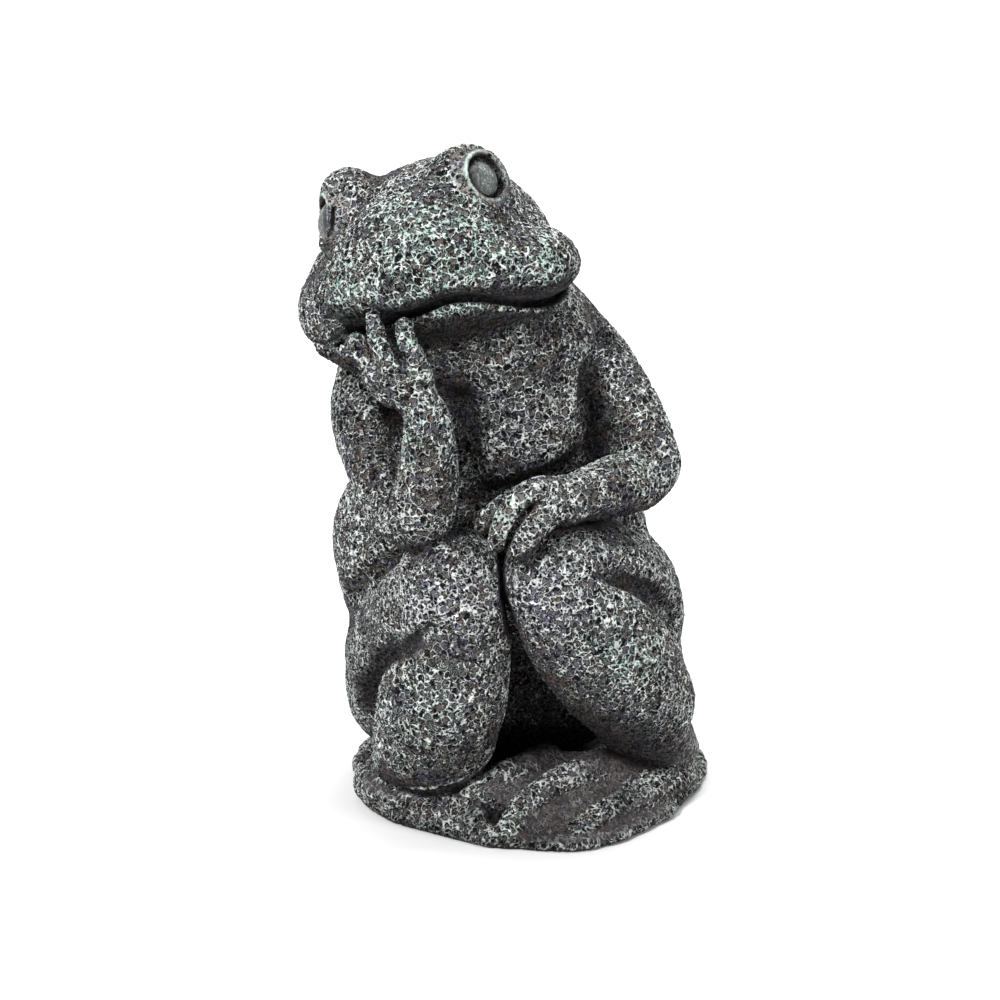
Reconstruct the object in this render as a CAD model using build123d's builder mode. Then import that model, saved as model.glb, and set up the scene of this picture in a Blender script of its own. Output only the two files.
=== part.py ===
from build123d import *
import os

os.makedirs("parts", exist_ok=True)

# Seated frog figurine resting its chin on its right hand.
# Front of the figure is -Y, its left side is +X, up is +Z.
# Origin: middle of the whole figure's footprint box, on the standing plane.

# ---------------------------------------------------------------- dimensions
TOTAL_HEIGHT = 259.08        # overall, Z
TOTAL_WIDTH = 159.26         # overall, X
TOTAL_DEPTH = 149.86         # overall, Y

SLAB_T = 6.0                 # ground slab thickness
SLAB_EDGE_R = 2.4            # rounding of its upper edge
WALL = 8.0                   # casting wall of the trunk and the head
HOLE_D = 44.0                # casting hole through the slab, under the trunk
HOLE_X, HOLE_Y = 0.5, 25.0
PLATE_D = 56.0               # disc closing that hole
PLATE_T = 3.5
PLATE_RECESS = 0.8           # the disc sits this far above the standing plane

EYE_R = 10.8                 # eyeball
BUMP_R = 13.2                # raised brow around the eye
LIP_GAP = 3.2                # mouth line, width
LIP_DEPTH = 5.0              # and depth

NECK_PIN_D = 12.0
PIN_D = 8.0

# Head frame: turned to the figure's right, lifted and tilted.
HEAD = Plane(origin=(-27.3, -14.3, 215.1),
             x_dir=(0.93651, -0.27300, 0.22004),
             z_dir=(-0.14674, 0.26478, 0.95308))

# Closed outline of the slab, seen from above.
SLAB_OUTLINE = [
    (-61.9, 3.6), (-60.4, -10.4), (-58.7, -19.4), (-49.7, -36.4), (-34.2, -51.8),
    (-14.7, -65.6), (-1.2, -72.4), (13.8, -74.93), (30.8, -71.6), (50.8, -54.6),
    (68.0, -29.4), (77.3, -8.8), (79.63, 8.6), (77.8, 25.6), (69.2, 45.6),
    (53.4, 61.8), (32.8, 71.8), (8.8, 74.93), (-15.2, 71.8), (-36.2, 61.6),
    (-52.2, 43.6), (-60.2, 22.6)]

# Trunk sections: height, centre x, centre y, half width, half depth.
TRUNK = [
    (SLAB_T, 0.5, 25.0, 38.0, 31.0), (14, 0.5, 25.2, 45.0, 35.5),
    (24, 0.5, 25.6, 50.5, 40.0), (38, 1.0, 26.0, 55.5, 43.5),
    (55, 0.5, 25.0, 57.0, 45.0), (72, -2.5, 21.5, 57.5, 45.0),
    (88, -5.0, 18.0, 60.0, 45.5), (104, -5.6, 17.2, 61.0, 46.5),
    (120, -5.2, 17.0, 56.5, 47.6), (136, -3.0, 15.6, 50.5, 48.6),
    (152, -1.2, 13.6, 48.5, 48.2), (168, -3.6, 10.6, 46.8, 46.2),
    (182, -8.4, 6.0, 44.6, 43.2), (194, -10.8, 2.0, 39.5, 37.8),
    (203, -11.2, -0.2, 28.0, 25.5), (208, -11.0, -0.6, 12.0, 11.0)]

# Head sections in the head frame: height, centre x, centre y, half sizes.
SKULL = [
    (-34, 0, 5.0, 17, 15), (-31, 0, 5.0, 28, 25), (-27, 0, 4.4, 37, 33.5),
    (-23, -1.5, 3.6, 44.5, 39), (-18, -1.5, 2.4, 50, 43.5), (-12, -0.6, 0.6, 52.2, 47.6),
    (-6, 0.2, 0.4, 51.8, 48.6), (1, 0.6, 1.0, 49.2, 48.4), (8, 0.4, 2.2, 46, 47),
    (15, 0, 3.8, 42.5, 43.6), (22, 0, 6.0, 37.5, 37.6), (28, 0, 8.0, 28.5, 28.6),
    (32, 0, 9.2, 18, 18), (34, 0, 9.6, 8, 8)]

# Mouth line across the front of the head: x, height in the head frame.
LIP_LINE = [
    (-64, -18.5), (-52, -21), (-45, -25), (-38.5, -27), (-32, -24.8), (-26, -22), (-19, -21), (-11, -19.8),
    (-4.5, -18.5), (1, -18.3), (7, -17.2), (18, -14.9), (28, -18), (40, -21),
    (48, -18.8), (54, -13.4), (64, -9.5)]

# Eye centres and brow centres in the head frame.
RIGHT_EYE, LEFT_EYE = (-31.2, -17.8, 21.6), (29.5, -15.5, 24.5)
RIGHT_BROW, LEFT_BROW = (-28.0, -10.0, 25.0), (26.5, -9.0, 24.2)
EYE_BACK = -35                # the eyeball's flat back, as a latitude
EYE_SEATS = [Plane(origin=HEAD.from_local_coords(eye),
                   z_dir=HEAD.from_local_coords(eye) - HEAD.from_local_coords(brow))
             for eye, brow in ((RIGHT_EYE, RIGHT_BROW), (LEFT_EYE, LEFT_BROW))]
RIGHT_CHEEK, LEFT_CHEEK = (-42.0, -8.0, -12.5), (41.0, -6.0, -8.0)
CHEEK_R = 12.25

# Limb stations: x, y, z, radius.
L_UPPER_ARM = [(20.1, 9.7, 180.9, 17.0), (31.7, 3.6, 168.5, 17.0),
               (45.0, -8.3, 151.7, 15.5), (50.8, -15.0, 137.0, 14.2)]
L_FOREARM = [(50.8, -17.0, 130.5, 14.2), (40.3, -34.4, 132.9, 12.6),
             (27.4, -50.4, 134.6, 10.3), (17.6, -58.4, 134.4, 9.0)]
L_PALM = ((13.8, -60.4, 132.2), (12.5, 9.5, 8.0))
L_FINGERS = [[(12.5, -61.0, 135.4, 6.0), (3.4, -66.3, 134.9, 5.8), (-3.2, -69.0, 128.9, 5.2), (-6.1, -69.2, 122.5, 4.2)],
             [(16.0, -62.0, 133.0, 6.6), (12.2, -67.0, 128.9, 6.0), (7.1, -69.0, 122.9, 5.2), (4.2, -69.8, 118.0, 3.9)]]

R_UPPER_ARM = [(-49.7, 3.6, 166.5, 17.0), (-52.8, -10.3, 150.2, 14.6),
               (-46.9, -28.4, 137.5, 13.2), (-36.2, -47.0, 128.5, 13.0)]
R_FOREARM = [(-33.4, -51.6, 126.2, 13.2), (-30.6, -54.6, 146.0, 10.8),
             (-30.1, -56.0, 162.0, 9.4), (-32.6, -56.4, 175.0, 9.0)]
R_PALM = ((-38.4, -56.4, 181.7), (12.0, 8.0, 11.5))
R_FINGERS = [[(-33.4, -57.6, 180.0, 6.3), (-34.2, -60.4, 192.0, 5.2), (-38.1, -60.4, 200.3, 4.4)],
             [(-39.0, -57.4, 182.0, 6.3), (-44.7, -60.2, 192.7, 5.2), (-49.2, -58.0, 201.5, 4.3)],
             [(-41.8, -56.2, 180.6, 6.6), (-50.1, -55.4, 187.5, 5.4), (-57.2, -50.4, 194.8, 4.4)]]

R_THIGH = [(-43.0, 23.6, 43.8, 26.5), (-40.0, -6.3, 58.9, 24.0),
           (-30.6, -32.0, 82.0, 20.6), (-21.6, -51.0, 99.5, 17.6)]
R_SHIN = [(-19.7, -54.8, 103.2, 17.8), (-19.4, -54.6, 79.0, 20.2),
          (-23.6, -48.6, 52.0, 22.8), (-31.0, -40.4, 32.2, 19.6)]
R_HEEL = [(-31.0, -40.4, 30.0, 18.4), (-38.0, -29.0, 20.0, 15.0), (-50.6, -9.0, 11.0, 10.5)]

L_THIGH = [(43.1, 23.6, 50.3, 27.5), (40.8, -6.3, 77.7, 26.5),
           (29.6, -34.0, 95.2, 22.6), (18.6, -51.2, 103.8, 19.4)]
L_SHIN = [(16.9, -54.2, 102.6, 19.6), (30.4, -48.4, 76.4, 24.2),
          (43.0, -36.8, 49.4, 25.0), (51.6, -24.8, 28.6, 20.4)]
L_HEEL = [(51.6, -24.8, 27.0, 18.6), (58.5, -13.0, 19.0, 15.0), (66.0, 2.0, 12.5, 12.0)]

L_TOES = [[(38.0, -12.0, 13.0, 7.0), (6.0, -14.0, 11.5, 5.6), (-17.0, -39.6, 9.6, 5.0)],
          [(52.0, -14.0, 14.0, 8.0), (20.4, -28.0, 12.0, 6.4), (-0.8, -65.6, 9.4, 5.6)],
          [(68.0, -14.0, 12.0, 8.6), (50.0, -40.0, 10.5, 7.2), (24.0, -67.0, 9.0, 5.8)]]
L_WEB = [(64.0, -16.0), (50.0, -38.0), (26.0, -65.0), (13.0, -63.0), (1.0, -63.0),
         (-5.0, -47.0), (-15.0, -37.0), (6.0, -15.0), (40.0, -8.0)]
R_TOES = [[(-50.0, -18.0, 11.0, 8.0), (-41.4, -36.6, 8.8, 6.2), (-16.0, -61.2, 7.8, 4.8)],
          [(-42.0, -18.0, 10.0, 7.0), (-22.0, -38.0, 8.2, 5.0), (-14.0, -47.0, 7.6, 4.2)]]
R_WEB = [(-50.0, -22.0), (-41.0, -38.0), (-17.0, -60.0), (-10.0, -52.0), (-12.0, -42.0), (-34.0, -12.0)]
WEB_TOP, L_WEB_TOP = 9.0, 11.0


# ---------------------------------------------------------------- helpers
def across(along):
    """A direction square to the given one."""
    spare = min(((1, 0, 0), (0, 1, 0), (0, 0, 1)), key=lambda v: abs(along.normalized().dot(Vector(*v))))
    return along.cross(Vector(*spare)).normalized()


def limb(stations, mode=Mode.ADD):
    """Round limb: a smooth skin through circles square to the path, with ball ends."""
    points = [Vector(*s[:3]) for s in stations]
    rings = []
    side = across(points[1] - points[0])
    for i, (x, y, z, r) in enumerate(stations):
        ahead = points[min(i + 1, len(points) - 1)]
        behind = points[max(i - 1, 0)]
        along = (ahead - behind).normalized()
        side = (side - along * side.dot(along)).normalized()
        with BuildSketch(Plane(origin=(x, y, z), x_dir=side, z_dir=along)) as ring:
            Circle(r)
        rings.append(ring.sketch)
    loft(rings, mode=mode)
    for x, y, z, r in (stations[0], stations[-1]):
        with Locations((x, y, z)):
            Sphere(r * 1.012, mode=mode)


def finger(stations):
    """Chain of cones between balls, for fingers and toes."""
    for (a, b) in zip(stations[:-1], stations[1:]):
        start, end = Vector(*a[:3]), Vector(*b[:3])
        side = across(end - start)
        with BuildSketch(Plane(origin=start, x_dir=side, z_dir=(end - start))) as thick:
            Circle(a[3] * 0.97)
        with BuildSketch(Plane(origin=end, x_dir=side, z_dir=(end - start))) as thin:
            Circle(b[3] * 0.97)
        loft([thick.sketch, thin.sketch], ruled=True)
    for x, y, z, r in stations:
        with Locations((x, y, z)):
            Sphere(r)


def pad(centre, radii):
    """Flattened ball."""
    ball = Sphere(1, mode=Mode.PRIVATE)
    add(Pos(*centre) * scale(ball, by=radii, mode=Mode.PRIVATE))


def stacked(plane, sections, shrink=0.0):
    """Smooth body through ellipses stacked along a frame's Z axis."""
    rings = []
    for z, cx, cy, rx, ry in sections:
        with BuildSketch(Plane(origin=plane.from_local_coords((cx, cy, z)),
                               x_dir=plane.x_dir, z_dir=plane.z_dir)) as ring:
            Ellipse(rx - shrink, ry - shrink)
        rings.append(ring.sketch)
    loft(rings)


def pin(a, b, d, mode=Mode.ADD):
    """Straight round pin from a to b."""
    start, end = Vector(*a), Vector(*b)
    with BuildSketch(Plane(origin=start, z_dir=(end - start))) as ring:
        Circle(d / 2)
    extrude(ring.sketch, amount=(end - start).length, mode=mode)


def below_slab():
    """Everything under the slab's top face, cut from what stands on it."""
    with Locations((0, 0, SLAB_T)):
        Box(400, 400, 200, align=(Align.CENTER, Align.CENTER, Align.MAX), mode=Mode.SUBTRACT)


# Pins: start, end
NECK_PIN = ((-14.0, -4.0, 191.0), (-14.0, -4.0, 221.0))
ARM_PINS = [((24.0, 4.0, 166.0), (43.0, 2.0, 166.0)), ((-37.0, 4.0, 164.0), (-60.0, 0.0, 160.0))]
LEG_PINS = [((46.0, 20.0, 52.0), (66.0, 18.0, 54.0)), ((-43.0, 20.0, 46.0), (-64.0, 18.0, 48.0))]

# ---------------------------------------------------------------- trunk
with BuildPart() as trunk_form:
    stacked(Plane.XY, TRUNK)

with BuildPart() as trunk_core:
    stacked(Plane.XY, [(z - (2.0 if i == 0 else 0.0), cx, cy, rx, ry)
                       for i, (z, cx, cy, rx, ry) in enumerate(TRUNK[:-2])], shrink=WALL)

with BuildPart() as torso:
    add(trunk_form.part)
    add(trunk_core.part, mode=Mode.SUBTRACT)
    pin(*NECK_PIN, NECK_PIN_D, mode=Mode.SUBTRACT)
    for a, b in ARM_PINS + LEG_PINS:
        pin(a, b, PIN_D, mode=Mode.SUBTRACT)

# ---------------------------------------------------------------- ground slab
with BuildPart() as ground_slab:
    with BuildSketch(Plane.XY):
        with BuildLine():
            Spline(*SLAB_OUTLINE, periodic=True)
        make_face()
    extrude(amount=SLAB_T)
    fillet(ground_slab.edges().group_by(Axis.Z)[-1], SLAB_EDGE_R)
    with BuildSketch(Plane.XY):
        with Locations((HOLE_X, HOLE_Y)):
            Circle(HOLE_D / 2)
    extrude(amount=SLAB_T, mode=Mode.SUBTRACT)
    with BuildSketch(Plane.XY):
        with Locations((HOLE_X, HOLE_Y)):
            Circle(PLATE_D / 2)
    extrude(amount=PLATE_RECESS + PLATE_T, mode=Mode.SUBTRACT)

with BuildPart() as bottom_plate:
    with BuildSketch(Plane.XY.offset(PLATE_RECESS)):
        with Locations((HOLE_X, HOLE_Y)):
            Circle(PLATE_D / 2)
    extrude(amount=PLATE_T)
    chamfer(bottom_plate.edges().group_by(Axis.Z)[0], 0.6)

# ---------------------------------------------------------------- legs
with BuildPart() as right_leg:
    limb(R_THIGH)
    limb(R_SHIN)
    limb(R_HEEL)
    add(trunk_form.part, mode=Mode.SUBTRACT)
    below_slab()
    pin(*LEG_PINS[1], PIN_D, mode=Mode.SUBTRACT)

with BuildPart() as left_leg:
    limb(L_THIGH)
    limb(L_SHIN)
    limb(L_HEEL)
    add(trunk_form.part, mode=Mode.SUBTRACT)
    add(right_leg.part, mode=Mode.SUBTRACT)
    below_slab()
    pin(*LEG_PINS[0], PIN_D, mode=Mode.SUBTRACT)

# ---------------------------------------------------------------- feet
with BuildPart() as left_foot:
    with BuildSketch(Plane.XY.offset(SLAB_T)):
        with BuildLine():
            Polyline(*L_WEB, close=True)
        make_face()
    extrude(amount=L_WEB_TOP - SLAB_T)
    for toe in L_TOES:
        finger(toe)
    add(trunk_form.part, mode=Mode.SUBTRACT)
    add(left_leg.part, mode=Mode.SUBTRACT)
    add(right_leg.part, mode=Mode.SUBTRACT)
    below_slab()

with BuildPart() as right_foot:
    with BuildSketch(Plane.XY.offset(SLAB_T)):
        with BuildLine():
            Polyline(*R_WEB, close=True)
        make_face()
    extrude(amount=WEB_TOP - SLAB_T)
    for toe in R_TOES:
        finger(toe)
    add(trunk_form.part, mode=Mode.SUBTRACT)
    add(right_leg.part, mode=Mode.SUBTRACT)
    add(left_foot.part, mode=Mode.SUBTRACT)
    below_slab()

# ---------------------------------------------------------------- head
with BuildPart() as mouth_band:
    with BuildSketch(Plane(origin=HEAD.origin, x_dir=HEAD.x_dir, z_dir=-HEAD.y_dir)):
        with BuildLine():
            upper = Spline(*LIP_LINE)
            lower = Spline(*[(x, z - LIP_GAP) for x, z in LIP_LINE])
            Line(upper @ 0, lower @ 0)
            Line(upper @ 1, lower @ 1)
        make_face()
    extrude(amount=70)

with BuildPart() as mouth_core:
    stacked(HEAD, [(z, cx, cy, rx, ry) for z, cx, cy, rx, ry in SKULL[2:9]], shrink=LIP_DEPTH)

with BuildPart() as mouth_groove:
    add(mouth_band.part)
    add(mouth_core.part, mode=Mode.SUBTRACT)

with BuildPart() as head:
    stacked(HEAD, SKULL)
    for local, r in ((RIGHT_CHEEK, CHEEK_R), (LEFT_CHEEK, CHEEK_R - 1.4),
                     (RIGHT_BROW, BUMP_R), (LEFT_BROW, BUMP_R)):
        with Locations(HEAD.from_local_coords(local)):
            Sphere(r)
    add(mouth_groove.part, mode=Mode.SUBTRACT)
    add(trunk_form.part, mode=Mode.SUBTRACT)

with BuildPart() as head_core:
    stacked(HEAD, [(z, cx, cy, rx, ry) for z, cx, cy, rx, ry in SKULL[7:11]], shrink=WALL)

with BuildPart() as head_shell:
    add(head.part)
    add(head_core.part, mode=Mode.SUBTRACT)
    for seat in EYE_SEATS:
        with Locations(seat):
            Sphere(EYE_R, arc_size1=EYE_BACK, mode=Mode.SUBTRACT)
    pin(*NECK_PIN, NECK_PIN_D, mode=Mode.SUBTRACT)

with BuildPart() as right_eye:
    with Locations(EYE_SEATS[0]):
        Sphere(EYE_R, arc_size1=EYE_BACK)

with BuildPart() as left_eye:
    with Locations(EYE_SEATS[1]):
        Sphere(EYE_R, arc_size1=EYE_BACK)

# ---------------------------------------------------------------- arms
with BuildPart() as left_arm:
    limb(L_UPPER_ARM)
    limb(L_FOREARM)
    pad(*L_PALM)
    for f in L_FINGERS:
        finger(f)
    add(trunk_form.part, mode=Mode.SUBTRACT)
    add(left_leg.part, mode=Mode.SUBTRACT)
    add(right_leg.part, mode=Mode.SUBTRACT)
    add(head.part, mode=Mode.SUBTRACT)
    pin(*ARM_PINS[0], PIN_D, mode=Mode.SUBTRACT)

with BuildPart() as right_arm:
    limb(R_UPPER_ARM)
    limb(R_FOREARM)
    pad(*R_PALM)
    for f in R_FINGERS:
        finger(f)
    add(trunk_form.part, mode=Mode.SUBTRACT)
    add(right_leg.part, mode=Mode.SUBTRACT)
    add(head.part, mode=Mode.SUBTRACT)
    pin(*ARM_PINS[1], PIN_D, mode=Mode.SUBTRACT)

# ---------------------------------------------------------------- pins
with BuildPart() as neck_dowel:
    pin(*NECK_PIN, NECK_PIN_D)

with BuildPart() as arm_dowels:
    for a, b in ARM_PINS:
        pin(a, b, PIN_D)

with BuildPart() as leg_dowels:
    for a, b in LEG_PINS:
        pin(a, b, PIN_D)

# ---------------------------------------------------------------- output
for name, piece in (
        ("torso", torso), ("head", head_shell), ("right_eye", right_eye), ("left_eye", left_eye),
        ("right_arm", right_arm), ("left_arm", left_arm), ("right_leg", right_leg),
        ("left_leg", left_leg), ("right_foot", right_foot), ("left_foot", left_foot),
        ("ground_slab", ground_slab), ("bottom_plate", bottom_plate),
        ("neck_dowel", neck_dowel), ("arm_dowels", arm_dowels), ("leg_dowels", leg_dowels)):
    piece.part.label = name
    export_step(piece.part, "parts/" + name + ".step")
    box = piece.part.bounding_box()
    print(name, "solids", len(piece.part.solids()),
          "x %.2f %.2f y %.2f %.2f z %.2f %.2f" % (box.min.X, box.max.X, box.min.Y, box.max.Y, box.min.Z, box.max.Z))
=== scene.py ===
import bpy
import math
import numpy as np
from mathutils import Matrix, Vector


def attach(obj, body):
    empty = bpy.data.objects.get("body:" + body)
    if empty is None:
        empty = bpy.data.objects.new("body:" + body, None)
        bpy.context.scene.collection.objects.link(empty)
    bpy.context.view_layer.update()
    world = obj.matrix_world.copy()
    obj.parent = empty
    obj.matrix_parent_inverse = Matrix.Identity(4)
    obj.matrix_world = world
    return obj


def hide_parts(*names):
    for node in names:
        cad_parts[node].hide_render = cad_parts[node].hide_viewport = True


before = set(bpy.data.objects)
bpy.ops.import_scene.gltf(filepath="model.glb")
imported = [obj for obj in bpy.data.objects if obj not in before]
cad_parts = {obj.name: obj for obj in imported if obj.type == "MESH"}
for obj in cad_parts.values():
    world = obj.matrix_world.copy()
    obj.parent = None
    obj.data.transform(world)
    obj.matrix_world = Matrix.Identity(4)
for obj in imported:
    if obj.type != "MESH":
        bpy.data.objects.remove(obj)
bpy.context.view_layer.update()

# Seated frog figurine, its chin on its raised right hand. The sculpt is worked out in millimetres
# as one field of distances, cut into its cast sections, and meshed.


# ------------------------------------------------------------------ view the pose was laid out in (millimetres)
F_PX, DIST, EL, ZT = 2939.0, 1150.0, math.radians(17.0), 117.0
OFF = np.array([3.2, 0.35, 0.0])
CAM = np.array([0.0, -DIST * math.cos(EL), ZT + DIST * math.sin(EL)]) - OFF
FW = np.array([0.0, math.cos(EL), -math.sin(EL)])
UP = np.array([0.0, math.sin(EL), math.cos(EL)])
RT = np.array([1.0, 0.0, 0.0])


def ray(px, py):
    return FW + (px - 500.0) / F_PX * RT - (py - 500.0) / F_PX * UP


def P(px, py, y):
    """point seen at (px, py), at depth y"""
    d = ray(px, py)
    return CAM + (y - OFF[1] - CAM[1]) / d[1] * d


def G(px, py, z):
    """point seen at (px, py), at height z"""
    d = ray(px, py)
    return CAM + (z - CAM[2]) / d[2] * d


def V(*a):
    return np.array(a, float)


# ------------------------------------------------------------------ distance fields
def smin(a, b, k):
    if k <= 0:
        return np.minimum(a, b)
    h = np.maximum(k - np.abs(a - b), 0) / k
    return np.minimum(a, b) - h * h * (k * 0.25)


def smax(a, b, k):
    return -smin(-a, -b, k)


def d_rc(X, Y, Z, a, b, r1, r2):
    """cone with ball ends"""
    ba = b - a
    l2 = float(ba @ ba)
    rr = r1 - r2
    if l2 < 1e-6 or l2 <= rr * rr:
        c, r = (a, r1) if r1 > r2 else (b, r2)
        return np.sqrt((X - c[0]) ** 2 + (Y - c[1]) ** 2 + (Z - c[2]) ** 2) - r
    a2 = l2 - rr * rr
    il2 = 1.0 / l2
    px, py, pz = X - a[0], Y - a[1], Z - a[2]
    y = px * ba[0] + py * ba[1] + pz * ba[2]
    z = y - l2
    x2 = np.maximum((px * px + py * py + pz * pz) * l2 * l2 - y * y * l2, 0)
    y2, z2 = y * y * l2, z * z * l2
    k = math.copysign(1.0, rr) * rr * rr * x2
    return np.where(np.sign(z) * a2 * z2 > k, np.sqrt(x2 + z2) * il2 - r2,
                    np.where(np.sign(y) * a2 * y2 < k, np.sqrt(x2 + y2) * il2 - r1,
                             (np.sqrt(x2 * a2 * il2) + y * rr) * il2 - r1))


def d_el(X, Y, Z, c, r, R=None):
    px, py, pz = X - c[0], Y - c[1], Z - c[2]
    if R is not None:
        px, py, pz = (px * R[0, 0] + py * R[1, 0] + pz * R[2, 0],
                      px * R[0, 1] + py * R[1, 1] + pz * R[2, 1],
                      px * R[0, 2] + py * R[1, 2] + pz * R[2, 2])
    k0 = np.sqrt((px / r[0]) ** 2 + (py / r[1]) ** 2 + (pz / r[2]) ** 2)
    k1 = np.sqrt((px / r[0] ** 2) ** 2 + (py / r[1] ** 2) ** 2 + (pz / r[2] ** 2) ** 2)
    return k0 * (k0 - 1.0) / np.maximum(k1, 1e-6)


def axes(yaw, pitch, roll):
    """turned frame facing -Y: columns are its x, back and up directions"""
    y, p, r = np.radians([yaw, pitch, roll])
    f = V(-math.sin(y) * math.cos(p), -math.cos(y) * math.cos(p), math.sin(p))
    r0 = V(math.cos(y), -math.sin(y), 0)
    u0 = np.cross(r0, -f)
    return np.stack([math.cos(r) * r0 + math.sin(r) * u0, -f, -math.sin(r) * r0 + math.cos(r) * u0], 1)


FAR = 20.0


class Grid:
    def __init__(self, lo, hi, h):
        self.h = h
        self.ax = [np.arange(a, b + h * 0.5, h, dtype=np.float32) for a, b in zip(lo, hi)]
        self.lo = np.array([a[0] for a in self.ax], float)
        self.shape = tuple(len(a) for a in self.ax)

    def cut(self, lo, hi, m):
        return tuple(slice(int(np.searchsorted(a, p - m)), int(np.searchsorted(a, q + m)))
                     for a, p, q in zip(self.ax, lo, hi))

    def pts(self, sl):
        x, y, z = (a[s] for a, s in zip(self.ax, sl))
        return x[:, None, None], y[None, :, None], z[None, None, :]


class Form:
    """one field on the grid, built from blended simple shapes inside a box"""

    def __init__(self, g, lo, hi):
        self.g = g
        self.sl = g.cut(lo, hi, 0)
        self.base = [s.start for s in self.sl]
        self.d = np.full([s.stop - s.start for s in self.sl], FAR, np.float32)

    def sub(self, lo, hi, m):
        sl = self.g.cut(lo, hi, m)
        sl = tuple(slice(max(a.start, b.start), max(min(a.stop, b.stop), max(a.start, b.start)))
                   for a, b in zip(sl, self.sl))
        loc = tuple(slice(a.start - b, a.stop - b) for a, b in zip(sl, self.base))
        return loc, self.g.pts(sl)

    def put(self, lo, hi, fn, k, op=1):
        loc, (X, Y, Z) = self.sub(lo, hi, 9.0 + k)
        v = np.minimum(fn(X, Y, Z), FAR).astype(np.float32)
        self.d[loc] = smin(self.d[loc], v, k) if op > 0 else smax(self.d[loc], -v, k)

    def rc(self, a, b, r1, r2, k=4.0, op=1):
        r = max(r1, r2)
        self.put(np.minimum(a, b) - r, np.maximum(a, b) + r, lambda X, Y, Z: d_rc(X, Y, Z, a, b, r1, r2), k, op)

    def chain(self, pts, k=4.0, op=1):
        for (p, r), (q, t) in zip(pts[:-1], pts[1:]):
            self.rc(p, q, r, t, k, op)

    def tube(self, pts, k=4.0, op=1, n=8):
        """smooth limb through (point, radius) stations"""
        p = np.array([q for q, r in pts], float)
        r = np.array([r for q, r in pts], float)
        t = np.arange(len(p), dtype=float)
        m = np.gradient(p, axis=0)
        mr = np.gradient(r)
        T = np.linspace(0, len(p) - 1, (len(p) - 1) * n + 1)
        i = np.minimum(T.astype(int), len(p) - 2)
        u = (T - i)[:, None]
        h00, h10, h01, h11 = 2 * u**3 - 3 * u**2 + 1, u**3 - 2 * u**2 + u, -2 * u**3 + 3 * u**2, u**3 - u**2
        Q = h00 * p[i] + h10 * m[i] + h01 * p[i + 1] + h11 * m[i + 1]
        u, h00, h10, h01, h11 = (a[:, 0] for a in (u, h00, h10, h01, h11))
        S = h00 * r[i] + h10 * mr[i] + h01 * r[i + 1] + h11 * mr[i + 1]
        tmp = Form.__new__(Form)
        tmp.g, tmp.sl, tmp.base = self.g, self.sl, self.base
        R = S.max()
        loc, _ = self.sub(Q.min(0) - R, Q.max(0) + R, 9.0 + k)
        tmp.d = np.full(self.d.shape, FAR, np.float32)
        tmp.chain([(a, b) for a, b in zip(Q, S)], 0)
        self.d[loc] = smin(self.d[loc], tmp.d[loc], k) if op > 0 else smax(self.d[loc], -tmp.d[loc], k)

    def el(self, c, r, R=None, k=4.0, op=1):
        m = max(r)
        self.put(c - m, c + m, lambda X, Y, Z: d_el(X, Y, Z, c, r, R), k, op)


HEAD_R = axes(19, 12, 13)
HEAD_O = V(-27.3, -14.3, 215.1)


def H(x, y, z):
    return HEAD_O + HEAD_R @ V(x, y, z)


SLAB = [(-61.9, 3.6), (-60.4, -10.4), (-58.7, -19.4), (-48.2, -35.4), (-33.0, -50.6), (-14.7, -65.6), (-1.2, -72.4),
        (14.8, -74.7), (33.5, -73.2), (52.6, -56.2), (68.0, -29.4), (77.3, -8.8), (79.5, 8.6), (77.8, 25.6),
        (69.2, 45.6), (53.4, 61.8), (32.8, 71.8), (8.8, 74.7), (-15.2, 71.8), (-36.2, 61.6), (-52.2, 43.6), (-60.2, 22.6)]
SLAB_C = V(8.0, 0.0)
LIP_X = np.array([-64, -52, -47.5, -43, -38.5, -35, -32, -29, -25, -19, -11, -4.5, 1, 7, 12.6, 18, 22, 26.4, 32.5, 35.5, 40, 45, 47.5, 49.5, 51.5, 53.5, 55, 64], float)
LIP_Z = np.array([-15, -20.0, -24.0, -26.4, -28.0, -26.6, -24.8, -22.0, -21.6, -21.0, -19.8, -18.5, -18.3, -17.2, -15.9, -15.4, -15.7, -17.0, -19.2, -20.1, -20.9, -20.0, -18.8, -17.5, -15.7, -13.0, -10.0, -7.0], float)
EYE_N = {'left_eye': V(0.861, -0.436, 0.261), 'right_eye': V(-0.81, -0.53, 0.25)}
EYE_P = {'left_eye': V(28.8, -16.2, 26.5), 'right_eye': V(-33.2, -21.6, 20.4)}
RIM_R, BALL_R, BALL_IN = 10.2, 8.6, 3.4
TOES = {
    'inner': [(P(628, 764, -24), 6.8), (P(604, 768, -31), 6.2), (P(574, 776, -40), 5.5), (P(548, 788, -49), 5.0), (P(529, 803, -57), 4.6), (P(514, 820, -64.5), 4.4), (P(505, 834, -69), 4.3)],
    'outer': [(P(683, 777, -8), 7.0), (P(665, 786, -25), 6.8), (P(643, 800, -40), 6.5), (P(614, 813, -51), 6.0), (P(594, 827, -58.5), 5.3), (P(579, 838, -64.5), 4.7)],
    'mid': [(P(545, 758, -30), 6.0), (P(526, 765, -38), 5.1), (P(505, 774, -45), 4.6), (P(485, 785, -50), 4.4), (P(470, 796, -53), 4.3)],
    'edge': [(P(372, 783, -22), 7.2), (P(385, 800, -35), 5.8), (P(405, 812, -45.5), 5.0), (P(438, 822, -54.5), 4.4), (P(470, 832, -62), 4.0), (P(490, 839, -67), 3.6)]}
NAMES = ['ground_slab', 'torso', 'head', 'right_leg', 'left_leg', 'right_arm', 'left_arm', 'right_foot', 'left_foot']


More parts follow.
